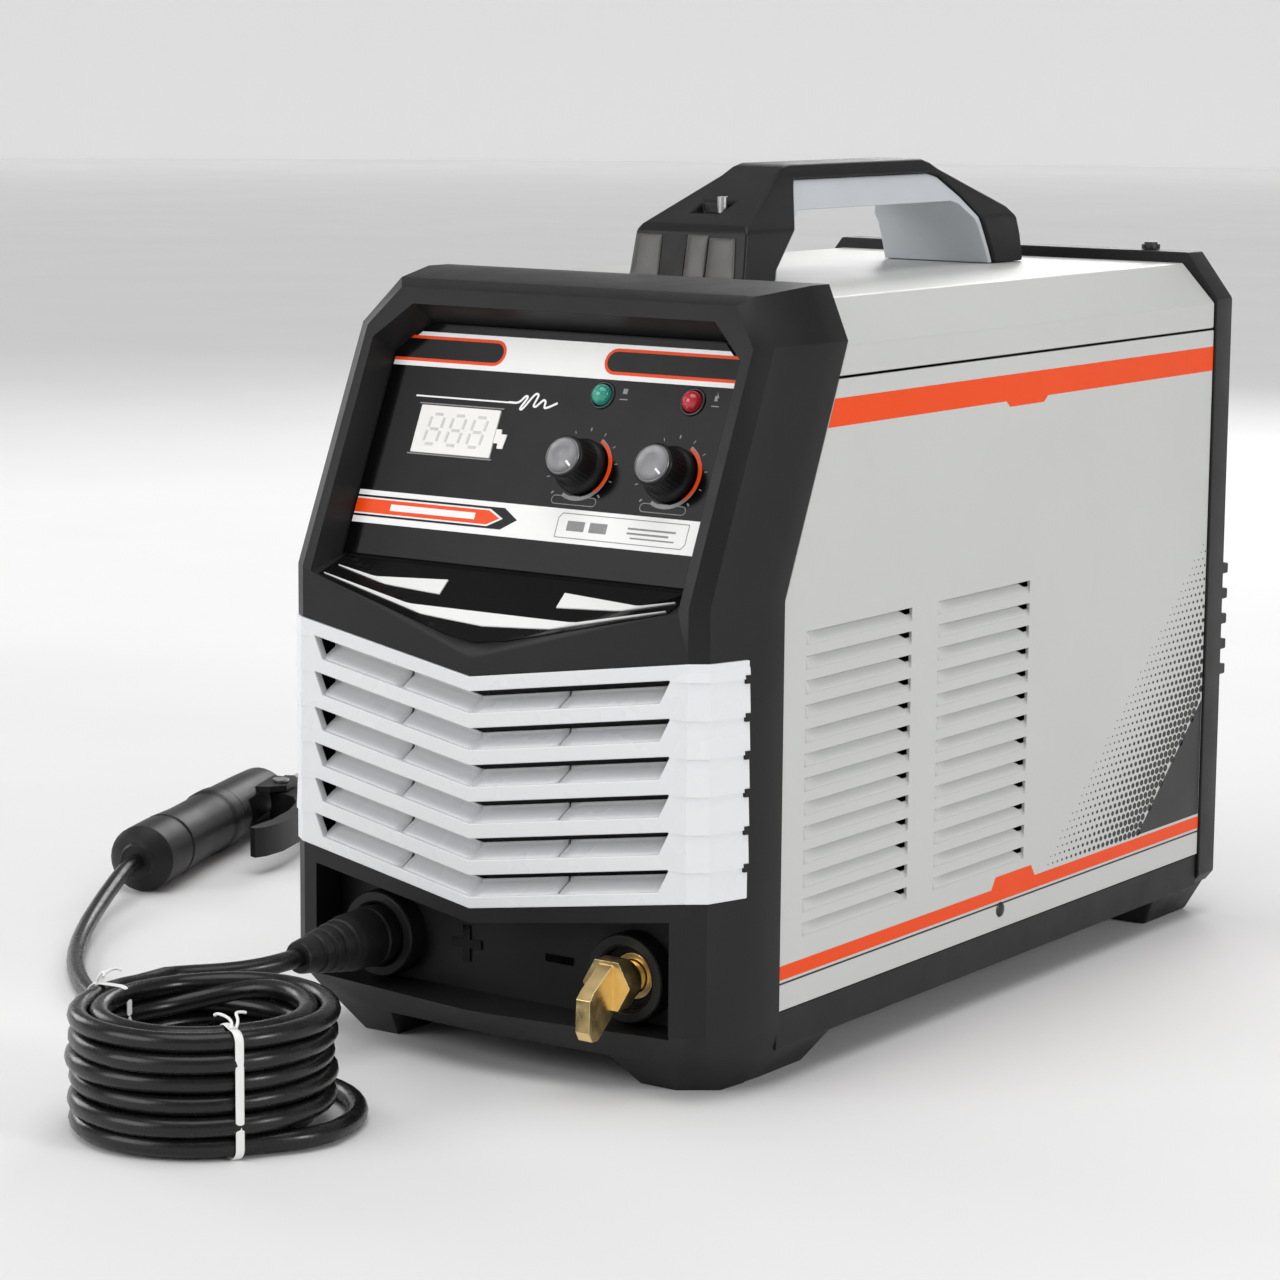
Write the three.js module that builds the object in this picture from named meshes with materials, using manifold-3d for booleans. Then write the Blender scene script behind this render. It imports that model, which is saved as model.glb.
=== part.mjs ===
// Portable stick (MMA) welding inverter: sheet-metal case between two moulded frames, carrying handle,
// sloping control panel, V-louvred air grille, two bayonet output sockets, coiled electrode lead and holder.
// Millimetres, +Z up, front of the machine towards -Y, origin on the ground under the middle of the machine.
import * as THREE from 'three';
import { mergeVertices } from 'three/addons/utils/BufferGeometryUtils.js';
import { ConvexGeometry } from 'three/addons/geometries/ConvexGeometry.js';
import Module from 'manifold-3d';

const wasm = await Module();
wasm.setup();

// ---------------------------------------------------------------- driving dimensions
const GAP = 0.3;            // clearance kept between touching pieces
const DY = -17.8;            // shift that centres the machine on the origin along Y

const HALF_W = 112;         // half width over the moulded ribs
const PANEL_X = 110.9;      // outer face of the sheet-metal sides
const SHEET = 1.7;          // sheet thickness

const LEAN = 0.44;          // how far the upper front leans back per unit of height
const PHI = Math.atan(LEAN);
const KNEE_Z = 198.65;      // height of the knee at the front corners
const FRONT_Y = -193.36;    // front face at the corners
const PROW_Y = -205.66;     // front face at the middle (the lower front is a shallow prow)
const FACE_W = 96.74;       // half width of the front face
const F1 = { w: 103.52, y: -188.25 }; // first corner facet ends
const F2 = { w: 109.5, y: -169.6 };   // second corner facet ends
const F3 = { w: HALF_W, y: -162 };    // rib side starts
const RIB_Y = -148.5;       // rear edge of the front frame below the knee
const RIB_KNEE_Z = 193.86;
const TOP_Z = 313.1;        // top of the sheet cover
const SEAM_Z = 283.0;       // seam between cover and side panels
const BASE_Z = 15.8;        // underside of the base tray
const SKIRT_Z = 31.2;       // top of the base tray's side walls
const REAR_Y0 = 221.3, REAR_Y1 = 242.9; // rear frame, front and back

const WALL = 3;             // moulded wall thickness
const PANEL_D = 13.2;       // depth of the overlay below the sloping face
const KNOB_X = [20.6, 64.0], KNOB_V = 56.4;
const LED_X = [21.6, 65.6], LED_V = 87.2;
const DISPLAY = { x0: -67.6, x1: -26.4, v0: 56.6, v1: 77.4 };

const SOCKET_X = 63, SOCKET_Z = 45.8, SOCKET_FACE_Y = -187, BAY_Y = -177;
const GRILLE = { topC: 164.2, topE: 177.5, botC: 69.0, botE: 81.9, pitch: 15.0, slots: 6, slotH: 8.8 };
const LOUVRE = { rows: 13, z0: 182.4, pitch: 9.88, up: 0.9, down: 4.4, cols: [[-130.6, -49.2], [-27.8, 50.6]] };

const FAN_Z = 165, FAN_R = 57;

const CABLE_D = 8;
const COIL = { x: -40, y: -322, rIn: 36, rOut: 52, z0: 1.3, z1: 49.3 };
const HOLDER = { x: -325, y: -50, z: 16.8, turn: Math.atan2(0.937, -0.35) };

// ---------------------------------------------------------------- solid helpers
function solid(geometry, matrix) {
  let g = geometry.clone();
  if (matrix) g.applyMatrix4(matrix);
  for (const key of Object.keys(g.attributes)) if (key !== 'position') g.deleteAttribute(key);
  g = mergeVertices(g, 1e-4);
  const index = [];
  for (let i = 0; i < g.index.count; i += 3) {
    const [a, b, c] = [g.index.getX(i), g.index.getX(i + 1), g.index.getX(i + 2)];
    if (a !== b && b !== c && c !== a) index.push(a, b, c);
  }
  const p = g.attributes.position.array;
  let volume = 0;
  for (let i = 0; i < index.length; i += 3) {
    const [a, b, c] = [index[i] * 3, index[i + 1] * 3, index[i + 2] * 3];
    volume += p[a] * (p[b + 1] * p[c + 2] - p[b + 2] * p[c + 1])
      - p[a + 1] * (p[b] * p[c + 2] - p[b + 2] * p[c])
      + p[a + 2] * (p[b] * p[c + 1] - p[b + 1] * p[c]);
  }
  if (volume < 0) for (let i = 0; i < index.length; i += 3) [index[i], index[i + 1]] = [index[i + 1], index[i]];
  return new wasm.Manifold(new wasm.Mesh({
    numProp: 3, vertProperties: new Float32Array(p), triVerts: new Uint32Array(index),
  }));
}

function geometryOf(body) {
  const mesh = body.getMesh();
  const g = new THREE.BufferGeometry();
  g.setAttribute('position', new THREE.BufferAttribute(new Float32Array(mesh.vertProperties), 3));
  g.setIndex(new THREE.BufferAttribute(new Uint32Array(mesh.triVerts), 1));
  g.computeVertexNormals();
  return g;
}

const join = (...all) => all.reduce((a, b) => a.add(b));
const cut = (a, ...rest) => rest.reduce((m, b) => m.subtract(b), a);

function box(x0, x1, y0, y1, z0, z1) {
  return solid(new THREE.BoxGeometry(x1 - x0, y1 - y0, z1 - z0)
    .translate((x0 + x1) / 2, (y0 + y1) / 2, (z0 + z1) / 2));
}

function outline(points) {
  const s = new THREE.Shape();
  points.forEach(([a, b], i) => (i ? s.lineTo(a, b) : s.moveTo(a, b)));
  s.closePath();
  return s;
}
const extrude = (points, depth) => new THREE.ExtrudeGeometry(outline(points), { depth, bevelEnabled: false, steps: 1 });

// prism with an outline in X,Y and height along Z
const prismZ = (points, z0, z1) => solid(extrude(points, z1 - z0).translate(0, 0, z0));
// prism with an outline in Y,Z and length along X
const TO_X = new THREE.Matrix4().set(0, 0, 1, 0, 1, 0, 0, 0, 0, 1, 0, 0, 0, 0, 0, 1);
const prismX = (points, x0, x1) => solid(extrude(points, x1 - x0).applyMatrix4(TO_X).translate(x0, 0, 0));
// prism with an outline in X,Z and length along Y
const TO_Y = new THREE.Matrix4().set(1, 0, 0, 0, 0, 0, -1, 0, 0, 1, 0, 0, 0, 0, 0, 1);
const prismY = (points, y0, y1) => solid(extrude(points, y1 - y0).applyMatrix4(TO_Y).translate(0, y1, 0));

const hull = (points) => solid(new ConvexGeometry(points.map((p) => new THREE.Vector3(...p))));

// turned piece about the Y axis: profile of [radius, y]
const turned = (profile, segments = 28) => solid(
  new THREE.LatheGeometry(profile.map(([r, y]) => new THREE.Vector2(r, y)), segments));

function rod(axis, r, a, b, c1, c2, segments = 24) {
  const g = new THREE.CylinderGeometry(r, r, b - a, segments).translate(0, (a + b) / 2, 0);
  if (axis === 'x') g.rotateZ(-Math.PI / 2).translate(0, c1, c2);
  else if (axis === 'z') g.rotateX(Math.PI / 2).translate(c1, c2, 0);
  else g.translate(c1, 0, c2);
  return solid(g);
}

const mirrorX = (points) => points.concat(points.slice().reverse().map(([x, ...rest]) => [-x, ...rest]));
const moved = (body, x, y, z) => body.translate([x, y, z]);

// tube of a cable along a smooth route
function tube(points, diameter, sides, steps) {
  const curve = new THREE.CatmullRomCurve3(points.map((p) => new THREE.Vector3(...p)), false, 'centripetal');
  const ring = [];
  for (let i = 0; i < sides; i++) {
    const a = (i + 0.5) * 2 * Math.PI / sides;
    ring.push([Math.cos(a) * diameter / 2, Math.sin(a) * diameter / 2]);
  }
  return solid(new THREE.ExtrudeGeometry(outline(ring), { extrudePath: curve, steps, bevelEnabled: false }));
}

// ---------------------------------------------------------------- scene graph helpers
const root = new THREE.Group();
const machine = new THREE.Group();
machine.position.set(0, DY, 0);
root.add(machine);

const plastic = (color, roughness = 0.5) => new THREE.MeshStandardMaterial({ color, roughness, metalness: 0 });
const metal = (color, roughness = 0.35) => new THREE.MeshStandardMaterial({ color, roughness, metalness: 1 });
const BLACK = 0x1c1c1c, GREY_PAINT = 0xc4c6c2, SILVER = 0xdedfe0, ORANGE = 0xf05000, BRASS = 0xc9a24a;

function piece(name, body, material, parent = machine, position = [0, 0, 0], rotation = [0, 0, 0]) {
  const mesh = new THREE.Mesh(geometryOf(body), material);
  mesh.name = name;
  mesh.position.set(...position);
  mesh.rotation.set(...rotation);
  parent.add(mesh);
  return mesh;
}

// ================================================================ front frame
const slopeY = (z, y0 = FRONT_Y, z0 = KNEE_Z) => y0 + LEAN * (z - z0);

// upper part: an octagonal front that leans back, with two bevels to the rib
function upperShape(t, back) {
  const rings = [
    { o: t, w: FACE_W - t, zc: 296.0 - 0.4 * t, zt: 312.0 - t, wt: 83.94 - 0.4 * t },
    { o: F1.y - FRONT_Y + 0.6 * t, w: F1.w - t, zc: 296.6 - 0.4 * t, zt: 315.6 - t, wt: 89.2 - 0.4 * t },
    { o: F2.y - FRONT_Y + 0.3 * t, w: F2.w - t, zc: 297.2 - 0.4 * t, zt: 317.8 - t, wt: 94.6 - 0.4 * t },
    { o: F3.y - FRONT_Y, w: F3.w - t, zc: 297.5 - 0.4 * t, zt: 318.8 - t, wt: 96.7 - 0.4 * t },
    { o: back - FRONT_Y, w: F3.w - t, zc: 297.5 - 0.4 * t, zt: 318.8 - t, wt: 96.7 - 0.4 * t },
  ];
  const points = [];
  for (const r of rings) {
    for (const [x, z] of [[r.w, KNEE_Z], [r.w, r.zc], [r.wt, r.zt]]) {
      for (const s of [-1, 1]) points.push([s * x, slopeY(z, FRONT_Y + r.o), z]);
    }
  }
  return hull(points);
}

// lower part: the prow, cut by the leaning face so that both meet in a shallow V
function lowerShape(t, back, z0) {
  const plan = mirrorX([
    [0, PROW_Y + t], [FACE_W - t, FRONT_Y + t], [F1.w - t, F1.y + 0.6 * t], [F2.w - t, F2.y + 0.3 * t],
    [F3.w - t, F3.y], [F3.w - t, back],
  ].filter(([x]) => x > 0)).concat([[0, PROW_Y + t]]);
  const ahead = prismX([
    [FRONT_Y + t, KNEE_Z], [slopeY(150, FRONT_Y + t), 150], [-300, 150], [-300, KNEE_Z + 6],
    [slopeY(KNEE_Z + 6, FRONT_Y + t), KNEE_Z + 6],
  ], -150, 150);
  return cut(prismZ(plan, z0, KNEE_Z), ahead);
}

const outerFront = join(upperShape(0, RIB_Y), lowerShape(0, RIB_Y, 28));
const innerFront = join(upperShape(WALL, RIB_Y + 30), lowerShape(WALL, RIB_Y + 30, 30));

// chin and front feet below the socket bay
const chin = hull([
  [0, PROW_Y, 28], [0, -193, 14.5],
  ...[-1, 1].flatMap((s) => [
    [s * FACE_W, FRONT_Y, 28], [s * F1.w, F1.y, 28], [s * F2.w, F2.y, 28], [s * F3.w, F3.y, 28], [s * F3.w, RIB_Y, 28],
    [s * 60, -190, 14.5], [s * 88, -186, 14.5], [s * 99, -176, 14.5], [s * 106, -160, 14.5], [s * 109, RIB_Y, 14.5],
  ]),
]);
const chinHollow = box(-92, 92, -182, -140, 17.5, 25);
const foot = (s) => join(
  hull([
    ...[[62.6, -173.8], [79.8, -173.8], [93.9, -163.2], [95.4, RIB_Y], [62.6, RIB_Y]].map(([x, y]) => [s * x, y, 0]),
    ...[[54, -190.2], [88, -187], [99.5, -177.5], [106.6, -160], [109.5, RIB_Y], [54, RIB_Y]].map(([x, y]) => [s * x, y, 17]),
  ]),
  hull([
    ...[[62.6, -160], [93.9, -160], [95.5, -137.9], [95.5, -106], [62.6, -106]].map(([x, y]) => [s * x, y, 0]),
    ...[[57, -160], [104, -160], [108, -137], [108, -102], [57, -102]].map(([x, y]) => [s * x, y, BASE_Z - GAP]),
  ]),
);

// recess of the control panel: octagonal at the top, a V-shaped sill at the bottom
const slopePoint = (x, v, depth) => [
  x, FRONT_Y + v * Math.sin(PHI) + depth * Math.cos(PHI), KNEE_Z + v * Math.cos(PHI) - depth * Math.sin(PHI)];
const recess = (g, d0, d1, vTip) => hull([
  slopePoint(-76 - g, 117 + g, d0), slopePoint(76 + g, 117 + g, d0),
  slopePoint(-92.4 - g, 101.5 + g, d0), slopePoint(92.4 + g, 101.5 + g, d0),
  slopePoint(-92.4 - g, -3 - g, d0), slopePoint(92.4 + g, -3 - g, d0), [0, -207.4, vTip - g],
  slopePoint(-74 - g, 113.5 + g, d1), slopePoint(74 + g, 113.5 + g, d1),
  slopePoint(-89 - g, 99.5 + g, d1), slopePoint(89 + g, 99.5 + g, d1),
  slopePoint(-89 - g, 10.8 - g, d1), slopePoint(89 + g, 10.8 - g, d1),
]);
const RECESS_D = PANEL_D + 1.8 + GAP;
const recessWall = recess(2.4, -1, RECESS_D + 2.6, 174).intersect(outerFront);
const recessCut = recess(0, -1.2, RECESS_D, 174);
const panelWindow = hull([-1, 1].flatMap((s) => [RECESS_D - 2, RECESS_D + 6].flatMap((d) => [
  slopePoint(s * 66, 106, d), slopePoint(s * 81, 92, d), slopePoint(s * 81, 18, d)])));

// opening for the grille, between two V lines
const vBand = (w, topC, topE, botC, botE) => [
  [-w, topE], [-FACE_W, topE], [0, topC], [FACE_W, topE], [w, topE],
  [w, botE], [FACE_W, botE], [0, botC], [-FACE_W, botE], [-w, botE]].reverse();
const grilleOpening = prismY(vBand(115, GRILLE.topC, GRILLE.topE, GRILLE.botC, GRILLE.botE), -230, F2.y);

// bay that protects the output sockets
const bay = (g) => [
  [-89.6 - g, 26.5 - g], [89.6 + g, 26.5 - g], [89.6 + g, 74 + g], [0, 63.2 + g], [-89.6 - g, 74 + g]];
const bayWall = prismY(bay(2.4), -230, BAY_Y + 3).intersect(outerFront.add(chin));
const bayCut = prismY(bay(0), -230, BAY_Y);
const socketHoles = [-1, 1].map((s) => rod('y', 15.2, -190, -160, s * SOCKET_X, SOCKET_Z, 28));

let frontFrame = join(cut(outerFront, innerFront), cut(chin, chinHollow), foot(1), foot(-1), bayWall, recessWall);
frontFrame = cut(frontFrame, recessCut, panelWindow, grilleOpening, bayCut, ...socketHoles);
piece('front_frame', frontFrame, plastic(BLACK, 0.55));

// ================================================================ front grille
const clearBand = prismY(vBand(114, GRILLE.topC - GAP, GRILLE.topE - GAP, GRILLE.botC + GAP, GRILLE.botE + GAP), -230, F2.y - GAP);
const grilleShell = cut(lowerShape(-0.6, RIB_Y, 28), lowerShape(WALL, RIB_Y + 30, 20)).intersect(clearBand);
const slots = [];
for (let i = 0; i < GRILLE.slots; i++) {
  const drop = GRILLE.topE - GRILLE.topC;
  const zc = GRILLE.topC - 6.3 - i * GRILLE.pitch, ze = zc + drop * (89 / FACE_W);
  const line = (x) => zc + (ze - zc) * Math.abs(x) / 89;
  slots.push(prismY([[-89.5, line(89.5)], [0, zc], [89.5, line(89.5)], [84.8, line(84.8) - GRILLE.slotH], [0, zc - GRILLE.slotH],
    [-84.8, line(84.8) - GRILLE.slotH]], -230, -150));
}
piece('front_grille', cut(grilleShell, ...slots), plastic(SILVER, 0.3));

// ================================================================ control panel (its own leaning frame)
const panel = new THREE.Group();
panel.position.set(0, FRONT_Y + PANEL_D * Math.cos(PHI), KNEE_Z - PANEL_D * Math.sin(PHI));
panel.rotation.set(-PHI, 0, 0);
machine.add(panel);

const overlayOutline = [[-73.5, 113.1], [-88.6, 99.3], [-88.6, 11.2], [88.6, 11.2], [88.6, 99.3], [73.5, 113.1]];
let overlay = prismY(overlayOutline, 0, 1.8);
overlay = cut(overlay,
  box(DISPLAY.x0 - GAP, DISPLAY.x1 + GAP, -5, 5, DISPLAY.v0 - GAP, DISPLAY.v1 + GAP),
  ...KNOB_X.map((x) => rod('y', 5, -5, 5, x, KNOB_V, 20)),
  ...LED_X.map((x) => rod('y', 4.9, -5, 5, x, LED_V, 20)));
piece('control_panel', overlay, plastic(0x0c0c0d, 0.25), panel);

piece('display_window', box(DISPLAY.x0, DISPLAY.x1, -0.5, 1.6, DISPLAY.v0, DISPLAY.v1), plastic(0xf2f2ee, 0.15), panel);
piece('display_module', join(box(-69, -25, 3, 13, 54, 80), box(-59, -35, 12.5, 18, 62, 72)), plastic(0x202020, 0.5), panel);
const lamp = turned([[0, -4.2], [1.8, -3.9], [3.4, -3.0], [4.3, -1.6], [4.5, 0], [4.5, 6.5], [0, 6.5]], 20);
piece('led_green', lamp, plastic(0x3fa08a, 0.15), panel, [LED_X[0], 0, LED_V]);
piece('led_red', lamp, plastic(0xc0353f, 0.15), panel, [LED_X[1], 0, LED_V]);

const knob = cut(
  turned([[0, -15.6], [7.6, -15.6], [8.4, -15.0], [8.9, -13.6], [9.4, -6], [11.2, -3.4], [11.6, -0.6], [3.0, -0.6],
    [3.0, 13.5], [0, 13.5]], 32),
  box(-0.7, 0.7, -20, -15.0, 3.2, 9));
piece('knob_arc_force', knob, plastic(0x2a2a2c, 0.4), panel, [KNOB_X[0], 0, KNOB_V]);
piece('knob_current', knob, plastic(0x2a2a2c, 0.4), panel, [KNOB_X[1], 0, KNOB_V]);
const potentiometer = turned([[3.4, 2.2], [4.6, 2.2], [4.6, 8], [12, 8], [12, 18], [0, 18], [0, 15], [3.4, 15], [3.4, 2.2]], 24);
piece('potentiometer_arc_force', potentiometer, metal(0x9a9a9a, 0.4), panel, [KNOB_X[0], 0, KNOB_V]);
piece('potentiometer_current', potentiometer, metal(0x9a9a9a, 0.4), panel, [KNOB_X[1], 0, KNOB_V]);
piece('control_board', box(-76, 78, 18.4, 20, 24, 92), plastic(0x1f5a35, 0.5), panel);

// ================================================================ output sockets
const socketBody = turned([
  [14.2, SOCKET_FACE_Y - SOCKET_FACE_Y], [15.6, 0], [17.6, 0], [18.3, 0.8], [18.3, 9.7], [14.9, 9.7], [14.9, 33],
  [9.8, 33], [9.8, 6], [13.0, 6], [13.0, 0.9], [14.2, 0]], 28);
const contact = turned([[9.5, 6.4], [9.5, 38], [0, 38], [0, 32], [6.9, 32], [6.9, 6.4], [9.5, 6.4]], 20);
for (const [s, side] of [[-1, 'positive'], [1, 'negative']]) {
  piece(`socket_${side}`, socketBody, plastic(0x262626, 0.5), machine, [s * SOCKET_X, SOCKET_FACE_Y, SOCKET_Z]);
  piece(`contact_${side}`, contact, metal(BRASS, 0.3), machine, [s * SOCKET_X, SOCKET_FACE_Y, SOCKET_Z]);
}

// brass plug with a hexagon and a flat tongue that bends down
const hexagon = (r, y0, y1, turn = Math.PI / 6) => solid(
  new THREE.CylinderGeometry(r, r, y1 - y0, 6).rotateY(turn).translate(0, (y0 + y1) / 2, 0));
const tongue = hull([-3.3, 3.3].flatMap((x) => [
  [x, -9, 9.4], [x, -9, -9.4], [x, -13, 8.0], [x, -25, -0.2], [x, -27.5, -3], [x, -28, -16], [x, -25.8, -19.8], [x, -22, -20],
]));
const brassTerminal = join(
  rod('y', 6.5, -1, 27, 0, 0, 24),
  rod('y', 8.6, -4.4, 0.4, 0, 0, 24),
  hexagon(11.4, -12.0, -4.0),
  tongue,
  box(-1.6, 1.6, 17, 22, 4.5, 6.6).translate([0, 0, 0]));
piece('brass_terminal', brassTerminal, metal(BRASS, 0.25), machine, [SOCKET_X, SOCKET_FACE_Y, SOCKET_Z]);

// rubber-sleeved plug of the electrode lead
const PLUG_END = -51.0;
const sleeve = turned([
  [0, 5.2], [12.4, 5.2], [12.4, -1.2], [12.9, -1.8], [12.9, -6], [12.2, -7], [12.0, -20], [11.6, -21],
  [11.2, -24.5], [10.2, -25], [10.2, -26.2], [10.8, -26.7], [10.3, -30], [9.4, -30.5], [9.4, -31.7], [9.9, -32.2],
  [9.4, -35.5], [8.5, -36], [8.5, -37.2], [9.0, -37.7], [8.4, -41], [7.4, -41.5], [7.4, -42.7], [7.8, -43.2],
  [6.9, -50], [6.4, PLUG_END], [0, PLUG_END]], 20);
piece('plug_sleeve', sleeve, plastic(0x181818, 0.6), machine, [-SOCKET_X, SOCKET_FACE_Y, SOCKET_Z]);
piece('plug_pin', join(turned([[0, 5.6], [6.5, 5.6], [6.5, 26], [5.6, 27], [0, 27]], 24), box(-1.6, 1.6, 17, 22, 4.5, 6.6)),
  metal(BRASS, 0.3), machine, [-SOCKET_X, SOCKET_FACE_Y, SOCKET_Z]);

// ================================================================ sheet-metal case
const louvreCuts = [];
for (let i = 0; i < LOUVRE.rows; i++) {
  const z = LOUVRE.z0 - i * LOUVRE.pitch;
  for (const [a, b] of LOUVRE.cols) louvreCuts.push([a, b, z - LOUVRE.down, z + LOUVRE.up]);
}
const sideOutline = [
  [RIB_Y + GAP, SKIRT_Z + GAP], [REAR_Y0 - GAP, SKIRT_Z + GAP], [REAR_Y0 - GAP, SEAM_Z - 0.6],
  [slopeY(SEAM_Z - 0.6, RIB_Y + GAP, RIB_KNEE_Z), SEAM_Z - 0.6], [RIB_Y + GAP, RIB_KNEE_Z]];
for (const [s, side] of [[-1, 'left'], [1, 'right']]) {
  const [x0, x1] = s > 0 ? [PANEL_X - SHEET, PANEL_X] : [-PANEL_X, -PANEL_X + SHEET];
  let sheet = prismX(sideOutline, x0, x1);
  sheet = cut(sheet, ...louvreCuts.map(([a, b, c, d]) => box(x0 - 1, x1 + 1, a, b, c, d)), rod('x', 2.1, x0 - 1, x1 + 1, 30.5, 40.1, 16));
  piece(`side_panel_${side}`, sheet, plastic(GREY_PAINT, 0.4));
  const screw = join(
    solid(new THREE.LatheGeometry([[0, 1.0], [1.6, 0.95], [2.9, 0.55], [3.4, 0.1], [3.4, 0], [0, 0]].map(([r, y]) => new THREE.Vector2(r, y)), 16)
      .rotateZ(s > 0 ? -Math.PI / 2 : Math.PI / 2)),
    s > 0 ? rod('x', 1.8, -5, 0.4, 0, 0, 12) : rod('x', 1.8, -0.4, 5, 0, 0, 12));
  piece(`side_screw_${side}`, screw, metal(0x3a3a3a, 0.4), machine, [s * (PANEL_X + 0.1), 30.5, 40.1]);
}

const coverOutline = mirrorX([[PANEL_X, SEAM_Z + 0.4], [PANEL_X, 295.1], [93.9, TOP_Z]]);
const coverInner = mirrorX([[PANEL_X - SHEET, SEAM_Z - 2], [PANEL_X - SHEET, 294.5], [93.2, TOP_Z - SHEET]]);
let cover = cut(prismY(coverOutline.reverse(), -160, REAR_Y0 - GAP), prismY(coverInner.reverse(), -170, REAR_Y0 + 5));
cover = cut(cover, prismX([
  [slopeY(250, RIB_Y + GAP, RIB_KNEE_Z), 250], [slopeY(330, RIB_Y + GAP, RIB_KNEE_Z), 330], [-230, 330], [-230, 250]], -130, 130));
piece('top_cover', cover, plastic(GREY_PAINT, 0.4));

const tray = cut(
  box(-110.5, 110.5, RIB_Y + GAP, REAR_Y0 - GAP, BASE_Z, SKIRT_Z),
  box(-109, 109, RIB_Y - 5, REAR_Y0 + 5, BASE_Z + 1.6, SKIRT_Z + 5));
piece('base_chassis', tray, plastic(0x161616, 0.5));

// ================================================================ rear frame, rear panel and what they carry
const octagon = (w, wt, z0, zb, zc, zt, wb) => mirrorX([[wb, z0], [w, zb], [w, zc], [wt, zt]]);
const rearOuter = octagon(HALF_W, 95.4, BASE_Z, BASE_Z + 5, 296.8, 318.2, 108);
const rearInner = octagon(101, 88, 27.4, 31, 291.5, 307, 98);
const rearBevel = hull([
  ...rearOuter.map(([x, z]) => [x, REAR_Y0, z]), ...rearOuter.map(([x, z]) => [x, REAR_Y1 - 6, z]),
  ...octagon(109, 93.4, BASE_Z + 2, BASE_Z + 7, 295.6, 315.4, 105).map(([x, z]) => [x, REAR_Y1, z])]);
const notches = [0, 1, 2, 3, 4].flatMap((i) => [-1, 1].map((s) =>
  box(s > 0 ? 104 : -110.5, s > 0 ? 110.5 : -104, 238, 245.6, 116 + i * 12.2, 121 + i * 12.2)));
piece('rear_frame', join(cut(rearBevel, prismY(rearInner.reverse(), 200, 260)), ...notches), plastic(BLACK, 0.55));

const SWITCH = { x: -52, z: 262 }, GLAND = { x: 58, z: 62 }, STUD = { x: -60, z: 60 };
const REAR_PLATE = 231.4;
const plateOutline = octagon(100.7, 87.8, 27.7, 31.2, 291.3, 306.7, 97.8);
let plate = prismY(plateOutline.reverse(), REAR_PLATE, REAR_PLATE + 1.6);
plate = cut(plate,
  rod('y', 56, 220, 245, 0, FAN_Z, 40),
  box(SWITCH.x - 14.2, SWITCH.x + 14.2, 220, 245, SWITCH.z - 17.2, SWITCH.z + 17.2),
  rod('y', 10.9, 220, 245, GLAND.x, GLAND.z, 24),
  rod('y', 4.4, 220, 245, STUD.x, STUD.z, 16));
piece('rear_panel', plate, plastic(GREY_PAINT, 0.45));

// fan: square housing with spokes, rotor with seven blades, slatted guard
let housing = cut(box(-59.7, 59.7, -38, -0.4, -59.7, 59.7), rod('y', FAN_R, -50, 10, 0, 0, 40));
housing = join(housing, rod('y', 20, -37.6, -33, 0, 0, 24), ...[0, 1, 2].map((i) =>
  solid(new THREE.BoxGeometry(5, 4, 42).translate(0, -35.6, 37.5).rotateY(i * 2 * Math.PI / 3 + Math.PI / 4))));
piece('fan_housing', housing, plastic(0x101010, 0.55), machine, [0, REAR_PLATE, FAN_Z]);
const blade = (i) => solid(new THREE.BoxGeometry(26, 2.2, 39)
  .rotateZ(0.62).translate(0, 0, 34.5).rotateY(i * 2 * Math.PI / 7));
piece('fan_rotor', join(rod('y', 19, -13, 13, 0, 0, 28), ...[0, 1, 2, 3, 4, 5, 6].map(blade)),
  plastic(0x151515, 0.5), machine, [0, REAR_PLATE - 17, FAN_Z]);
const guardRing = cut(rod('y', 62.5, 0, 3.2, 0, 0, 32), rod('y', 56, -1, 5, 0, 0, 32));
const guardBars = [-42, -28, -14, 0, 14, 28, 42].map((z) => {
  const half = Math.sqrt(57.5 ** 2 - z * z);
  return box(-half, half, 0.4, 2.8, z - 1.3, z + 1.3);
});
const guardPosts = [-24, 24].map((x) => box(x - 1.5, x + 1.5, 0.4, 2.8, -52, 52));
piece('fan_guard', join(guardRing, ...guardBars, ...guardPosts), plastic(0x141414, 0.5), machine,
  [0, REAR_PLATE + 1.6 + GAP, FAN_Z]);

piece('power_switch_body', cut(
  join(box(-13.8, 13.8, -22, 2, -16.8, 16.8), box(-16.5, 16.5, 1.9, 4.2, -19.5, 19.5)),
  box(-10.4, 10.4, -8.5, 8, -14.2, 14.2)), plastic(0x121212, 0.4), machine, [SWITCH.x, REAR_PLATE, SWITCH.z]);
const rocker = prismX([[-6, -7], [3.6, -11.4], [5.0, -10.4], [3.4, 0], [5.0, 10.4], [3.6, 11.4], [-6, 7]], -9.9, 9.9);
piece('power_switch_rocker', rocker, plastic(0xb01818, 0.3), machine, [SWITCH.x, REAR_PLATE + 2, SWITCH.z], [0.2, 0, 0]);

piece('cable_gland', turned([[6, -9], [10.5, -9], [10.5, 1.9], [13.6, 1.9], [13.6, 8], [12.2, 10.5], [11.6, 17],
  [9.4, 19.2], [7, 19.2], [6, 18.2], [6, -9]], 24), plastic(0x161616, 0.5), machine, [GLAND.x, REAR_PLATE, GLAND.z]);
piece('ground_stud', join(
  rod('y', 4, -8, 16, 0, 0, 16), rod('y', 9, 1.9, 3.4, 0, 0, 24), hexagon(7.6, 3.4, 9.6, 0), hexagon(7.4, -6.2, -0.4, 0)),
  metal(0xb8a15a, 0.35), machine, [STUD.x, REAR_PLATE, STUD.z]);

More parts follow.
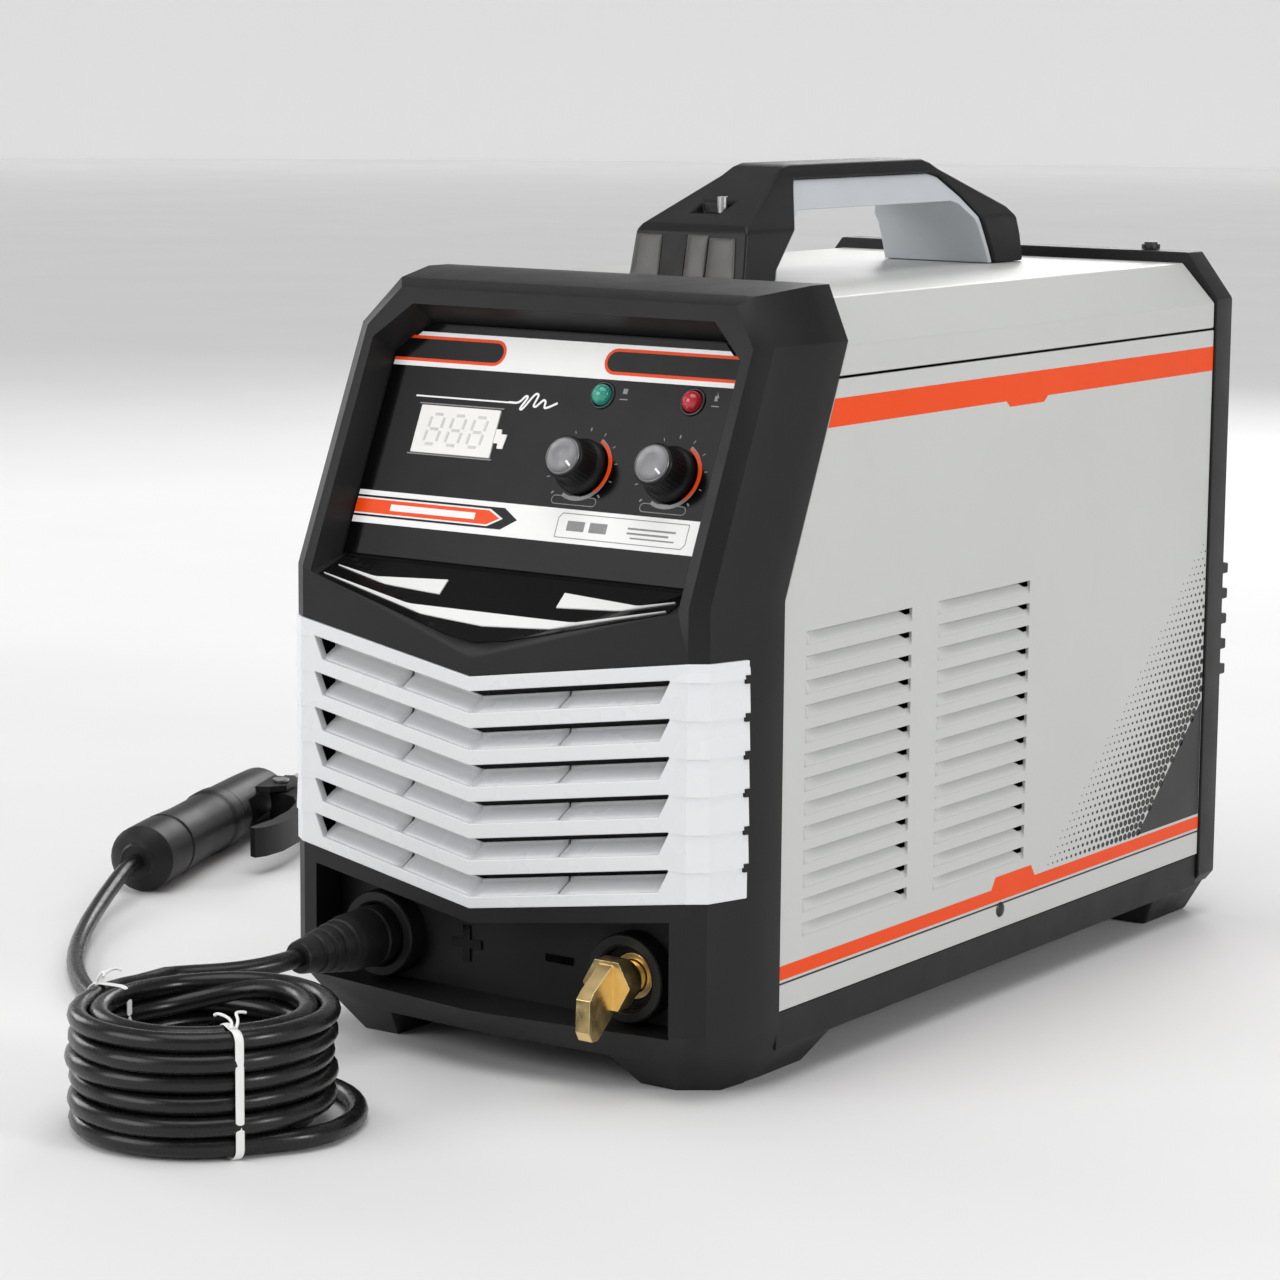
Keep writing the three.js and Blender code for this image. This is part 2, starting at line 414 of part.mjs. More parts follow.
for (const [s, side] of [[-1, 'left'], [1, 'right']]) {
  const pad = hull([
    ...[[73, 194], [98, 194], [98, 236], [73, 236]].map(([x, y]) => [s * x, y, 0]),
    ...[[67, 187], [106, 187], [106, 240], [67, 240]].map(([x, y]) => [s * x, y, BASE_Z - GAP]),
  ]);
  piece(`rear_foot_${side}`, pad, plastic(0x141414, 0.7));
}

// ================================================================ carrying handle
const HANDLE_Z = TOP_Z + GAP;
const archOuter = [[-57, HANDLE_Z], [-55.6, 318], [-52.5, 334], [-50, 337.5], [-2, 360.6], [4, 362], [116, 362],
  [122, 360.6], [172, 339.5], [177.5, 334], [180.3, 326], [182, HANDLE_Z]];
const archInner = [[-31.5, HANDLE_Z - 2], [-30.5, 318], [1.2, 351.5], [5.5, 355.5], [120, 355.5], [127, 353.8], [137.5, 344.6], [146.5, 332.6],
  [153, 320], [156.5, HANDLE_Z - 2]];
const archWidth = mirrorX([[30, HANDLE_Z - 1], [28.6, 335], [14, 357], [12.6, 363]]);
// the same open outline moved sideways by d, mitred at its corners
function offsetLine(pts, d) {
  const lines = pts.slice(1).map(([x2, y2], i) => {
    const [x1, y1] = pts[i], l = Math.hypot(x2 - x1, y2 - y1);
    return { x: x1 + d * (y2 - y1) / l, y: y1 - d * (x2 - x1) / l, dx: (x2 - x1) / l, dy: (y2 - y1) / l };
  });
  const out = [[lines[0].x, lines[0].y]];
  for (let i = 1; i < lines.length; i++) {
    const a = lines[i - 1], b = lines[i], det = a.dx * b.dy - a.dy * b.dx;
    const t = ((b.x - a.x) * b.dy - (b.y - a.y) * b.dx) / det;
    out.push([a.x + a.dx * t, a.y + a.dy * t]);
  }
  const [x, y] = pts[pts.length - 1], e = lines[lines.length - 1];
  out.push([x + d * e.dy, y - d * e.dx]);
  return out;
}
let shell = cut(prismX(archOuter.slice().reverse(), -31, 31), prismX(archInner.slice().reverse(), -40, 40));
shell = shell.intersect(prismY(archWidth.slice().reverse(), -100, 230));
// recess of the front screw
shell = cut(shell, hull([[-8, -60, 341.5], [8, -60, 341.5], [-8, -60, 352], [8, -60, 352], [-8, -31, 341.5], [8, -31, 341.5],
  [-8, -31, 352], [8, -31, 352]]));
piece('handle_shell', shell, plastic(BLACK, 0.5));
const linerOuter = offsetLine(archInner, GAP);
const linerInner = [[-28.4, HANDLE_Z - 2], [-27.6, 318.6], [-8, 339.4], [-2, 342.6], [128, 342.6], [133.6, 341], [143.8, 330.8],
  [150, 318.8], [153.2, HANDLE_Z - 2]];
const linerWidth = mirrorX([[28.4, HANDLE_Z - 1], [27, 335], [12.6, 356], [12.6, 363]]);
const liner = cut(prismX(linerOuter.slice().reverse(), -30, 30), prismX(linerInner.slice().reverse(), -40, 40), box(-50, 50, -50, 200, 300, HANDLE_Z))
  .intersect(prismY(linerWidth.slice().reverse(), -100, 230));
piece('handle_liner', liner, plastic(0xc9ccce, 0.4));
piece('handle_screw_front', rod('z', 2.3, 341.8, 349, 4, -34.5, 16), metal(0x8a8a8a, 0.35));
piece('frame_screw_rear', join(rod('z', 4.4, 0, 2.4, 0, 0, 16), rod('z', 3.2, 2.3, 3.4, 0, 0, 16)), metal(0x4a4a4a, 0.4), machine,
  [72, 230, 318.5]);

// ================================================================ power electronics inside
const fins = [];
for (let i = 0; i < 9; i++) fins.push(box(-44 + i * 10.5, -41 + i * 10.5, -60, 120, 62, 96));
piece('heatsink', join(box(-46, 46, -60, 120, 95, 102), ...fins), metal(0xb5b8ba, 0.4));
piece('main_board', box(-80, 80, -90, 150, 118, 120), plastic(0x1f5a35, 0.5));
const cans = [[-45, -50], [0, -50], [45, -50], [-45, 0], [45, 0]].map(([x, y]) => rod('z', 17, 121.4, 172, x, y, 20));
piece('capacitor_bank', join(box(-66, 66, -72, 22, 120.3, 122), ...cans), plastic(0x20324e, 0.4));
piece('transformer', join(box(-34, 34, 62, 132, 124, 148), box(-22, 22, 50, 144, 120.3, 152)), plastic(0x6e5a2a, 0.5));
piece('output_inductor', join(rod('x', 17.5, -30, 30, -20, 42, 20), box(-36, 36, -36, -4, BASE_Z + 1.9, 27)), plastic(0x7a4a1c, 0.5));
for (const [s, side] of [[-1, 'positive'], [1, 'negative']]) {
  piece(`busbar_${side}`, join(
    box(s * 63 - 8, s * 63 + 8, SOCKET_FACE_Y + 38.3, SOCKET_FACE_Y + 40.3, 34, 92),
    box(s * 63 - 8, s * 63 + 8, SOCKET_FACE_Y + 38.3, -66, 90, 92)), metal(0xb87333, 0.35));
}

// ================================================================ electrode lead: stretch to the coil, coil, stretch to the holder
const LEAD = [
  [-63, SOCKET_FACE_Y + PLUG_END - GAP, SOCKET_Z], [-63.2, -244.5, 45.7], [-64.6, -251, 45.3], [-67.6, -258.5, 44.8],
  [-71.8, -266.2, 44.5], [-76.6, -273.8, 44.5], [-81.2, -280.6, 44.7], [-84.9, -286.8, 44.9]];
piece('cable_lead', tube(LEAD, CABLE_D, 10, 8), plastic(0x151515, 0.55));
piece('cable_coil', solid(new THREE.LatheGeometry(
  [[COIL.rIn + 3, 0], [COIL.rOut - 3, 0], [COIL.rOut, 3], [COIL.rOut, 45], [COIL.rOut - 3, 48], [COIL.rIn + 3, 48], [COIL.rIn, 45],
    [COIL.rIn, 3], [COIL.rIn + 3, 0]].map(([r, y]) => new THREE.Vector2(r, y)), 30).rotateX(Math.PI / 2)),
plastic(0x151515, 0.55), machine, [COIL.x, COIL.y, COIL.z0]);
const tie = (name, angle) => {
  const band = cut(
    box(COIL.rIn - 1.1, COIL.rOut + 1.1, -2.2, 2.2, 0.15, 50.4),
    box(COIL.rIn - 0.4, COIL.rOut + 0.4, -3, 3, 0.9, 49.7));
  piece(name, band, plastic(0xf0f0ee, 0.4), machine, [COIL.x, COIL.y, 0], [0, 0, angle]);
};
tie('coil_tie_1', 3.25);
tie('coil_tie_2', -0.6);

const TAIL = [
  [16.6, -324, 5.2], [16.4, -314, 4.9], [13.6, -300, 4.4], [8.0, -287, 4.1], [-1.0, -276, 4.1], [-13, -267.4, 4.1],
  [-27, -262.2, 4.1], [-44, -259.6, 4.1], [-66, -257.6, 4.1], [-92, -254.6, 4.1], [-120, -249, 4.1], [-150, -239.8, 4.1],
  [-180, -226.4, 4.1], [-208, -209, 4.1], [-234, -187.6, 4.1], [-258, -162.6, 4.2], [-279, -135.4, 5.6], [-296, -108.6, 8.6],
  [-309, -84.6, 12.6], [-318.4, -65.6, 15.8], [-324.9, -50.3, 16.8]];
piece('cable_tail', tube(TAIL, CABLE_D, 8, 40), plastic(0x151515, 0.55));

// ================================================================ electrode holder, lying on the ground
const holder = new THREE.Group();
holder.position.set(HOLDER.x, HOLDER.y, HOLDER.z);
holder.rotation.set(0, 0, HOLDER.turn);
machine.add(holder);
const alongX = (body) => body.rotate([0, 0, -90]);   // turned pieces run along Y; lay them along X
piece('holder_handle', alongX(turned([[0, 0], [8.2, 0], [9, 2], [13.8, 5], [16.4, 8], [16.4, 34], [15.6, 35], [15.6, 36.4], [16.4, 37.4],
  [15.4, 62], [15.4, 96], [16.4, 98], [16.4, 108], [15.4, 110], [0, 110]], 28)), plastic(0x1a1a1a, 0.5), holder);
const headCore = alongX(turned([[0, 110.3], [15.2, 110.3], [15.6, 112], [15.2, 150], [14.6, 172], [12.6, 178], [0, 178]], 28));
const ears = [-1, 1].map((s) => hull([s * 8.2, s * 11.4].flatMap((z) => [
  [138, -8, z], [170, -8, z], [146, -25, z], [162, -25, z], [140, -18, z], [168, -18, z]])));
let head = join(headCore, ...ears);
head = cut(head, hull([-7.9, 7.9].flatMap((z) => [[120, -11.2, z], [185, -6.2, z], [185, -32, z], [120, -32, z]])),
  box(170.5, 190, -6.5, 3.1, -5.3, 5.3), rod('z', 3.3, -20, 20, 154, -19, 16));
piece('holder_head', head, plastic(0x1a1a1a, 0.5), holder);
piece('holder_jaw', join(box(170.8, 186, -2.6, 2.8, -5, 5), box(180, 192, -2.6, 5.4, -5, 5)), metal(0xb87333, 0.35), holder);
const leverSide = [
  [190, -8.0], [191, -13], [184, -17.5], [168, -23], [160, -29], [150, -36.5], [132, -44.5], [104, -49], [76, -48.5],
  [62, -44.5], [57, -40.5], [59.5, -37], [66, -38.2], [80, -41], [104, -41.4], [124, -38.2], [137, -32], [143, -24],
  [146, -16.5], [154, -12.8], [168, -11.6]];
const leverProfile = new THREE.ExtrudeGeometry(outline(leverSide), { depth: 15, bevelEnabled: false, steps: 1 }).translate(0, 0, -7.5);
piece('holder_lever', cut(solid(leverProfile).translate([-154, 19, 0]), rod('z', 3.9, -20, 20, 0, 0, 16),
  box(-7, 7, -7, 7, -3.4, 3.4)), plastic(0x202020, 0.5), holder, [154, -19, 0]);
piece('holder_pin', join(rod('z', 3.0, -12.4, 12.4, 0, 0, 16), rod('z', 4.4, 11.9, 13.2, 0, 0, 16), rod('z', 4.4, -13.2, -11.9, 0, 0, 16)),
  metal(0x9a9a9a, 0.35), holder, [154, -19, 0]);
piece('holder_spring', cut(rod('z', 5.2, -3, 3, 0, 0, 16), rod('z', 3.4, -4, 4, 0, 0, 16)), metal(0x888888, 0.35), holder, [154, -19, 0]);
piece('electrode', alongX(turned([[0, 173], [1.6, 173], [1.6, 198], [2.5, 199], [2.5, 262], [1.6, 263], [1.6, 264], [0, 264]], 12))
  .translate([0, -4.5, 0]), plastic(0xb9b4aa, 0.7), holder);

export default root;
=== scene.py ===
import math
import random

import bmesh
import bpy
from mathutils import Matrix, Vector


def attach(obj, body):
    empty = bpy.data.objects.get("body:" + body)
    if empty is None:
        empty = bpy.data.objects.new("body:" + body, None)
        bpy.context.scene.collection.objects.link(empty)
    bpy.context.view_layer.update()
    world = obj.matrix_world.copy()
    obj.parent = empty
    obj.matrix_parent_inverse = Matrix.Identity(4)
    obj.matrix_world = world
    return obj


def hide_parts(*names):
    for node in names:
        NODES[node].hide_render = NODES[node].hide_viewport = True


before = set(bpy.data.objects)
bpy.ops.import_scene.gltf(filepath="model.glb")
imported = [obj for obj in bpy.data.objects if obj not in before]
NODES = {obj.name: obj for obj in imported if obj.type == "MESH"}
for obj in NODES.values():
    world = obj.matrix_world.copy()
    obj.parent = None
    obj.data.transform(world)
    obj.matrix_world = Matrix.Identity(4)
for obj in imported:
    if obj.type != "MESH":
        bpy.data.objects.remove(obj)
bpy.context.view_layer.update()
random.seed(7)

DY = -17.8
MM = 0.001


def P(x, y, z):
    """A point in the machine's millimetres, in the row frame."""
    return Vector((x * MM, (y + DY) * MM, z * MM))


# ---------------------------------------------------------------- camera
def make_camera():
    right = Vector((0.81860158, 0.57430026, 0.00840609))
    up = Vector((-0.09842047, 0.12583839, 0.98715658))
    back = Vector((0.56586647, -0.80891527, 0.15953441))
    m = Matrix.Identity(4)
    for i, v in enumerate((right, up, back)):
        v = v.normalized()
        for j in range(3):
            m[j][i] = v[j]
    m[0][3], m[1][3], m[2][3] = 0.89714, -1.38786, 0.41651
    data = bpy.data.cameras.new("camera")
    data.lens = 105.21
    data.sensor_width = 36
    data.sensor_fit = "HORIZONTAL"
    data.clip_start = 0.01
    data.clip_end = 50
    cam = bpy.data.objects.new("camera", data)
    bpy.context.scene.collection.objects.link(cam)
    cam.matrix_world = m
    bpy.context.scene.camera = cam


make_camera()


# ---------------------------------------------------------------- materials
class Tree:
    """A short way to write a node tree."""

    def __init__(self, name):
        self.mat = bpy.data.materials.new(name)
        self.mat.use_nodes = True
        self.t = self.mat.node_tree
        self.bsdf = next(n for n in self.t.nodes if n.type == "BSDF_PRINCIPLED")
        self.coord = self.t.nodes.new("ShaderNodeTexCoord")

    def add(self, kind, **sockets):
        n = self.t.nodes.new(kind)
        for key, value in sockets.items():
            if hasattr(n, key) and key not in n.inputs:
                setattr(n, key, value)
            else:
                n.inputs[key].default_value = value
        return n

    def link(self, a, b):
        self.t.links.new(a, b)

    def noise(self, scale, detail=3, stretch=None, rough=0.55):
        n = self.t.nodes.new("ShaderNodeTexNoise")
        n.inputs["Scale"].default_value = scale
        n.inputs["Detail"].default_value = detail
        n.inputs["Roughness"].default_value = rough
        if stretch:
            m = self.t.nodes.new("ShaderNodeMapping")
            m.inputs["Scale"].default_value = stretch
            self.link(self.coord.outputs["Object"], m.inputs["Vector"])
            self.link(m.outputs["Vector"], n.inputs["Vector"])
        else:
            self.link(self.coord.outputs["Object"], n.inputs["Vector"])
        return n.outputs["Fac"]

    def ramp(self, fac, stops):
        r = self.t.nodes.new("ShaderNodeValToRGB")
        e = r.color_ramp.elements
        while len(e) < len(stops):
            e.new(0.5)
        for i, (pos, col) in enumerate(stops):
            e[i].position = pos
            e[i].color = (*col, 1) if len(col) == 3 else col
        self.link(fac, r.inputs["Fac"])
        return r.outputs["Color"]

    def span(self, fac, a, b, lo=0.3, hi=0.7):
        m = self.t.nodes.new("ShaderNodeMapRange")
        m.inputs["From Min"].default_value = lo
        m.inputs["From Max"].default_value = hi
        m.inputs["To Min"].default_value = a
        m.inputs["To Max"].default_value = b
        self.link(fac, m.inputs["Value"])
        return m.outputs["Result"]

    def bump(self, fac, strength, distance, normal=None):
        b = self.t.nodes.new("ShaderNodeBump")
        b.inputs["Strength"].default_value = strength
        b.inputs["Distance"].default_value = distance
        self.link(fac, b.inputs["Height"])
        if normal is not None:
            self.link(normal, b.inputs["Normal"])
        return b.outputs["Normal"]


def shade(name, base, rough, metal=0.0, var=0.08, vscale=35.0, rvar=0.05, bumps=(), spec=0.5, coat=0.0,
          coat_rough=0.1, tint=None, stretch=None, speck=None):
    t = Tree(name)
    b = t.bsdf
    big = t.noise(vscale, 4, stretch)
    lo = tuple(max(0.0, c * (1 - var)) for c in base)
    hi = tuple(min(1.0, c * (1 + var)) for c in (tint or base))
    col = t.ramp(big, [(0.3, lo), (0.7, hi)])
    if speck:
        scale, size, colour = speck
        fine = t.noise(scale, 2)
        m = t.t.nodes.new("ShaderNodeMix")
        m.data_type = "RGBA"
        t.link(t.span(fine, 0.0, 1.0, size, size + 0.06), m.inputs[0])
        t.link(col, m.inputs[6])
        m.inputs[7].default_value = (*colour, 1)
        col = m.outputs[2]
    t.link(col, b.inputs["Base Color"])
    t.link(t.span(t.noise(vscale * 2.3, 3, stretch), rough - rvar, rough + rvar), b.inputs["Roughness"])
    b.inputs["Metallic"].default_value = metal
    b.inputs["Specular IOR Level"].default_value = spec
    b.inputs["Coat Weight"].default_value = coat
    b.inputs["Coat Roughness"].default_value = coat_rough
    normal = None
    for scale, strength, distance in bumps:
        normal = t.bump(t.noise(scale, 2, stretch), strength, distance, normal)
    if normal is not None:
        t.link(normal, b.inputs["Normal"])
    return t.mat


M = {
    # moulded charcoal shell with a fine spark-eroded grain
    "black_plastic": shade("moulded_black", (0.0105, 0.0106, 0.0110), 0.42, var=0.14, vscale=18, rvar=0.05,
                           bumps=((2600, 0.22, 0.00012), (120, 0.05, 0.0004)), spec=0.27),
    "black_gloss": shade("overlay_black", (0.0022, 0.0022, 0.0026), 0.16, var=0.1, vscale=24, rvar=0.02,
                         bumps=((900, 0.04, 0.00006),), spec=0.14),
    "sill_gloss": shade("sill_black", (0.004, 0.004, 0.0044), 0.2, var=0.12, vscale=20, rvar=0.03,
                        bumps=((1500, 0.06, 0.00008),), spec=0.2),
    "silver_plastic": shade("silver_moulding", (0.78, 0.79, 0.81), 0.28, var=0.008, vscale=12, rvar=0.02,
                            bumps=((2400, 0.04, 0.00006),), spec=0.45),
    "liner_plastic": shade("grey_moulding", (0.56, 0.585, 0.62), 0.34, var=0.025, vscale=30, rvar=0.05,
                           bumps=((2200, 0.08, 0.0001),)),
    "grey_paint": shade("powder_coat_grey", (0.565, 0.575, 0.555), 0.36, var=0.022, vscale=9, rvar=0.05,
                        bumps=((1300, 0.10, 0.00012), (260, 0.05, 0.0003)), spec=0.5),
    "black_paint": shade("powder_coat_black", (0.008, 0.008, 0.0085), 0.4, var=0.15, vscale=22, rvar=0.06,
                         bumps=((1300, 0.14, 0.00012),), spec=0.25),
    "orange_print": shade("print_orange", (0.87, 0.068, 0.0), 0.36, var=0.02, vscale=20, rvar=0.04,
                          bumps=((1300, 0.05, 0.00006),), spec=0.2),
    "orange_panel": shade("overlay_orange", (0.87, 0.07, 0.004), 0.24, var=0.02, vscale=30, rvar=0.03,
                          bumps=((900, 0.03, 0.00005),), spec=0.2),
    "white_panel": shade("overlay_white", (0.86, 0.86, 0.85), 0.2, var=0.02, vscale=30, rvar=0.03,
                         bumps=((900, 0.03, 0.00005),)),
    "black_print": shade("print_black", (0.006, 0.006, 0.006), 0.4, var=0.1, vscale=20, rvar=0.04,
                         bumps=((1300, 0.05, 0.00006),)),
    "grey_print": shade("print_grey", (0.2, 0.2, 0.205), 0.25, var=0.06, vscale=40, rvar=0.04,
                        bumps=((900, 0.03, 0.00005),)),
    "window": shade("display_lens", (0.74, 0.73, 0.7), 0.12, var=0.03, vscale=40, rvar=0.03,
                    bumps=((700, 0.03, 0.00006),), coat=0.4, coat_rough=0.05),
    "digit": shade("display_digit", (0.57, 0.56, 0.53), 0.2, var=0.05, vscale=60, rvar=0.03,
                   bumps=((700, 0.03, 0.00006),)),
    "green_lens": shade("lens_green", (0.03, 0.34, 0.25), 0.14, var=0.2, vscale=160, rvar=0.03,
                        bumps=((300, 0.1, 0.0002),), coat=0.5, coat_rough=0.04),
    "red_lens": shade("lens_red", (0.52, 0.02, 0.035), 0.14, var=0.2, vscale=160, rvar=0.03,
                      bumps=((300, 0.1, 0.0002),), coat=0.5, coat_rough=0.04),
    "knob_plastic": shade("knob_rubber", (0.009, 0.009, 0.0095), 0.42, var=0.15, vscale=70, rvar=0.06,
                          bumps=((2600, 0.15, 0.0001),), spec=0.25),
    "knob_cap": shade("knob_cap_metal", (0.17, 0.17, 0.175), 0.36, metal=0.9, var=0.08, vscale=140, rvar=0.06,
                      bumps=((1500, 0.1, 0.00006),)),
    "steel": shade("zinc_steel", (0.42, 0.42, 0.42), 0.32, metal=1, var=0.1, vscale=120, rvar=0.08,
                   bumps=((900, 0.12, 0.0001),)),
    "dark_steel": shade("blackened_steel", (0.06, 0.06, 0.062), 0.36, metal=1, var=0.15, vscale=120, rvar=0.08,
                        bumps=((900, 0.12, 0.0001),)),
    "brass": shade("machined_brass", (0.88, 0.64, 0.27), 0.33, metal=1, var=0.08, vscale=90, rvar=0.07,
                   bumps=((420, 0.3, 0.0002), (2400, 0.12, 0.00006)), tint=(0.93, 0.71, 0.36)),
    "copper": shade("copper_bar", (0.75, 0.36, 0.2), 0.32, metal=1, var=0.12, vscale=80, rvar=0.08,
                    bumps=((700, 0.15, 0.00012),)),
    "aluminium": shade("extruded_aluminium", (0.62, 0.63, 0.65), 0.34, metal=1, var=0.05, vscale=40, rvar=0.07,
                       bumps=((700, 0.1, 0.0001),), stretch=(1, 0.05, 1)),
    "rubber": shade("black_rubber", (0.009, 0.009, 0.0095), 0.46, var=0.15, vscale=60, rvar=0.07,
                    bumps=((1500, 0.2, 0.00012),), spec=0.3),
    "cable": shade("cable_sheath", (0.007, 0.007, 0.0073), 0.27, var=0.2, vscale=70, rvar=0.06,
                   bumps=((700, 0.1, 0.00015), (90, 0.15, 0.0005)), spec=0.4),
    "board": shade("circuit_board", (0.012, 0.10, 0.045), 0.35, var=0.25, vscale=70, rvar=0.08,
                   bumps=((500, 0.2, 0.0003),), speck=(260, 0.58, (0.5, 0.45, 0.25))),
    "component_blue": shade("capacitor_sleeve", (0.02, 0.045, 0.11), 0.3, var=0.1, vscale=60, rvar=0.05,
                            bumps=((600, 0.1, 0.0001),)),
    "winding": shade("varnished_winding", (0.34, 0.13, 0.04), 0.3, var=0.3, vscale=500, rvar=0.1,
                     bumps=((500, 0.4, 0.0006),), stretch=(1, 0.05, 0.05)),
    "rocker_red": shade("rocker_red", (0.5, 0.012, 0.012), 0.22, var=0.06, vscale=60, rvar=0.05,
                        bumps=((1200, 0.08, 0.0001),), coat=0.3, coat_rough=0.1),
    "tie_white": shade("nylon_white", (0.86, 0.86, 0.84), 0.38, var=0.04, vscale=90, rvar=0.05,
                       bumps=((900, 0.15, 0.00015),)),
    "flux": shade("flux_coating", (0.47, 0.44, 0.40), 0.72, var=0.1, vscale=160, rvar=0.08,
                  bumps=((900, 0.35, 0.0003),)),
    # lighter copy of the black plastic for the leg's pads: partly a rougher grey plastic, partly painted sheen of the
    # key light on the leg's front face
    "pad_grey": shade("pad_grey_with_painted_sheen", (0.085, 0.082, 0.078), 0.3, var=0.1, vscale=40, rvar=0.05,
                      bumps=((2200, 0.12, 0.0001),), spec=0.4),
    # near-black for the dark inner parts, and also for flat sheets that paint the shade inside the case behind openings
    "dark_inside": shade("dark_parts_and_painted_shade", (0.006, 0.006, 0.006), 0.6, var=0.2, vscale=30, rvar=0.06,
                         bumps=((600, 0.1, 0.0003),)),
}

NODE_MATERIAL = {
    "front_frame": "black_plastic", "front_grille": "silver_plastic", "control_panel": "black_gloss",
    "display_window": "window", "display_module": "dark_inside", "led_green": "green_lens", "led_red": "red_lens",
    "knob_arc_force": "knob_plastic", "knob_current": "knob_plastic", "potentiometer_arc_force": "steel",
    "potentiometer_current": "steel", "control_board": "board", "socket_positive": "black_plastic",
    "socket_negative": "black_plastic", "contact_positive": "brass", "contact_negative": "brass",
    "brass_terminal": "brass", "plug_sleeve": "rubber", "plug_pin": "brass", "side_panel_left": "grey_paint",
    "side_panel_right": "grey_paint", "side_screw_left": "dark_steel", "side_screw_right": "dark_steel",
    "top_cover": "grey_paint", "base_chassis": "black_paint", "rear_frame": "black_plastic",
    "rear_panel": "grey_paint", "fan_housing": "dark_inside", "fan_rotor": "dark_inside",
    "fan_guard": "black_plastic", "power_switch_body": "black_plastic", "power_switch_rocker": "rocker_red",
    "cable_gland": "black_plastic", "ground_stud": "brass", "rear_foot_left": "rubber", "rear_foot_right": "rubber",
    "handle_shell": "black_plastic", "handle_liner": "liner_plastic", "handle_screw_front": "steel",
    "frame_screw_rear": "dark_steel", "heatsink": "aluminium", "main_board": "board",
    "capacitor_bank": "component_blue", "transformer": "winding", "output_inductor": "winding",
    "busbar_positive": "copper", "busbar_negative": "copper", "cable_lead": "cable", "cable_coil": "cable",
    "cable_tail": "cable", "coil_tie_1": "tie_white", "coil_tie_2": "tie_white", "holder_handle": "black_plastic",
    "holder_head": "black_plastic", "holder_jaw": "copper", "holder_lever": "black_plastic", "holder_pin": "steel",
    "holder_spring": "steel", "electrode": "flux",
}
EDGE = {  # softened edge widths in mm
    "front_frame": 1.6, "front_grille": 0.5, "control_panel": 0.35, "display_window": 0.3, "handle_shell": 2.2,
    "handle_liner": 1.6, "rear_frame": 1.5, "top_cover": 0.9, "side_panel_left": 0.3, "side_panel_right": 0.3,
    "base_chassis": 0.5, "rear_panel": 0.4, "fan_guard": 0.6, "power_switch_body": 0.6, "power_switch_rocker": 0.5,
    "rear_foot_left": 1.5, "rear_foot_right": 1.5, "brass_terminal": 0.5, "holder_head": 0.8, "holder_lever": 1.6,
    "heatsink": 0.3, "transformer": 0.8, "electrode": 0.15, "socket_positive": 0.25, "socket_negative": 0.25,
    "side_screw_left": 0.1, "side_screw_right": 0.1, "knob_arc_force": 0.25, "knob_current": 0.25,
    "plug_sleeve": 0.2, "fan_housing": 0.8, "fan_rotor": 0.3, "holder_handle": 0.3, "cable_gland": 0.3,
    "ground_stud": 0.3, "frame_screw_rear": 0.3, "handle_screw_front": 0.3, "main_board": 0.2,
    "control_board": 0.2, "display_module": 0.3, "busbar_positive": 0.3, "busbar_negative": 0.3,
    "holder_jaw": 0.4, "holder_pin": 0.2,
}


def soften(o, width, angle=28, segments=3):
    """Welds, cleans and bevels an object, leaving its own mesh as it is."""
    w = o.modifiers.new("weld", "WELD")
    w.merge_threshold = 0.00001
    d = o.modifiers.new("planar", "DECIMATE")
    d.decimate_type = "DISSOLVE"
    d.angle_limit = math.radians(0.6)
    b = o.modifiers.new("edge", "BEVEL")
    b.width = width * MM
    b.segments = segments
    b.limit_method = "ANGLE"
    b.angle_limit = math.radians(angle)
    b.use_clamp_overlap = True
    b.harden_normals = False
    n = o.modifiers.new("normals", "WEIGHTED_NORMAL")
    n.keep_sharp = True
    n.weight = 100


def smooth(o):
    o.data.polygons.foreach_set("use_smooth", [True] * len(o.data.polygons))
    o.data.update()


for name, o in NODES.items():
    o.data.materials.clear()
    o.data.materials.append(M[NODE_MATERIAL[name]])
    smooth(o)
    soften(o, EDGE.get(name, 0.25))


# ---------------------------------------------------------------- making pieces
def piece(name, bm, material, body="root", smooth_faces=True):
    me = bpy.data.meshes.new(name)
    bmesh.ops.recalc_face_normals(bm, faces=bm.faces)
    bm.to_mesh(me)
    bm.free()
    o = bpy.data.objects.new(name, me)
    bpy.context.scene.collection.objects.link(o)
    for m in (material if isinstance(material, (list, tuple)) else [material]):
        me.materials.append(M[m])
    if smooth_faces:
        smooth(o)
    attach(o, body)
    return o


def prism_into(bm, poly, to3, d0, d1):
    """Adds a closed prism: poly is a list of (u, v), to3(u, v, d) a point."""
    lo = [bm.verts.new(to3(u, v, d0)) for u, v in poly]
    hi = [bm.verts.new(to3(u, v, d1)) for u, v in poly]
    n = len(poly)
    faces = [bm.faces.new(lo[::-1]), bm.faces.new(hi)]
    for i in range(n):
        faces.append(bm.faces.new((lo[i], lo[(i + 1) % n], hi[(i + 1) % n], hi[i])))
    return faces


def plates(name, polys, to3, d0, d1, material, body="root"):
    bm = bmesh.new()
    for poly in polys:
        prism_into(bm, poly, to3, d0, d1)
    bm.normal_update()
    bmesh.ops.triangulate(bm, faces=[f for f in bm.faces if len(f.verts) > 4], ngon_method="EAR_CLIP")
    o = piece(name, bm, material, body, smooth_faces=False)
    return o


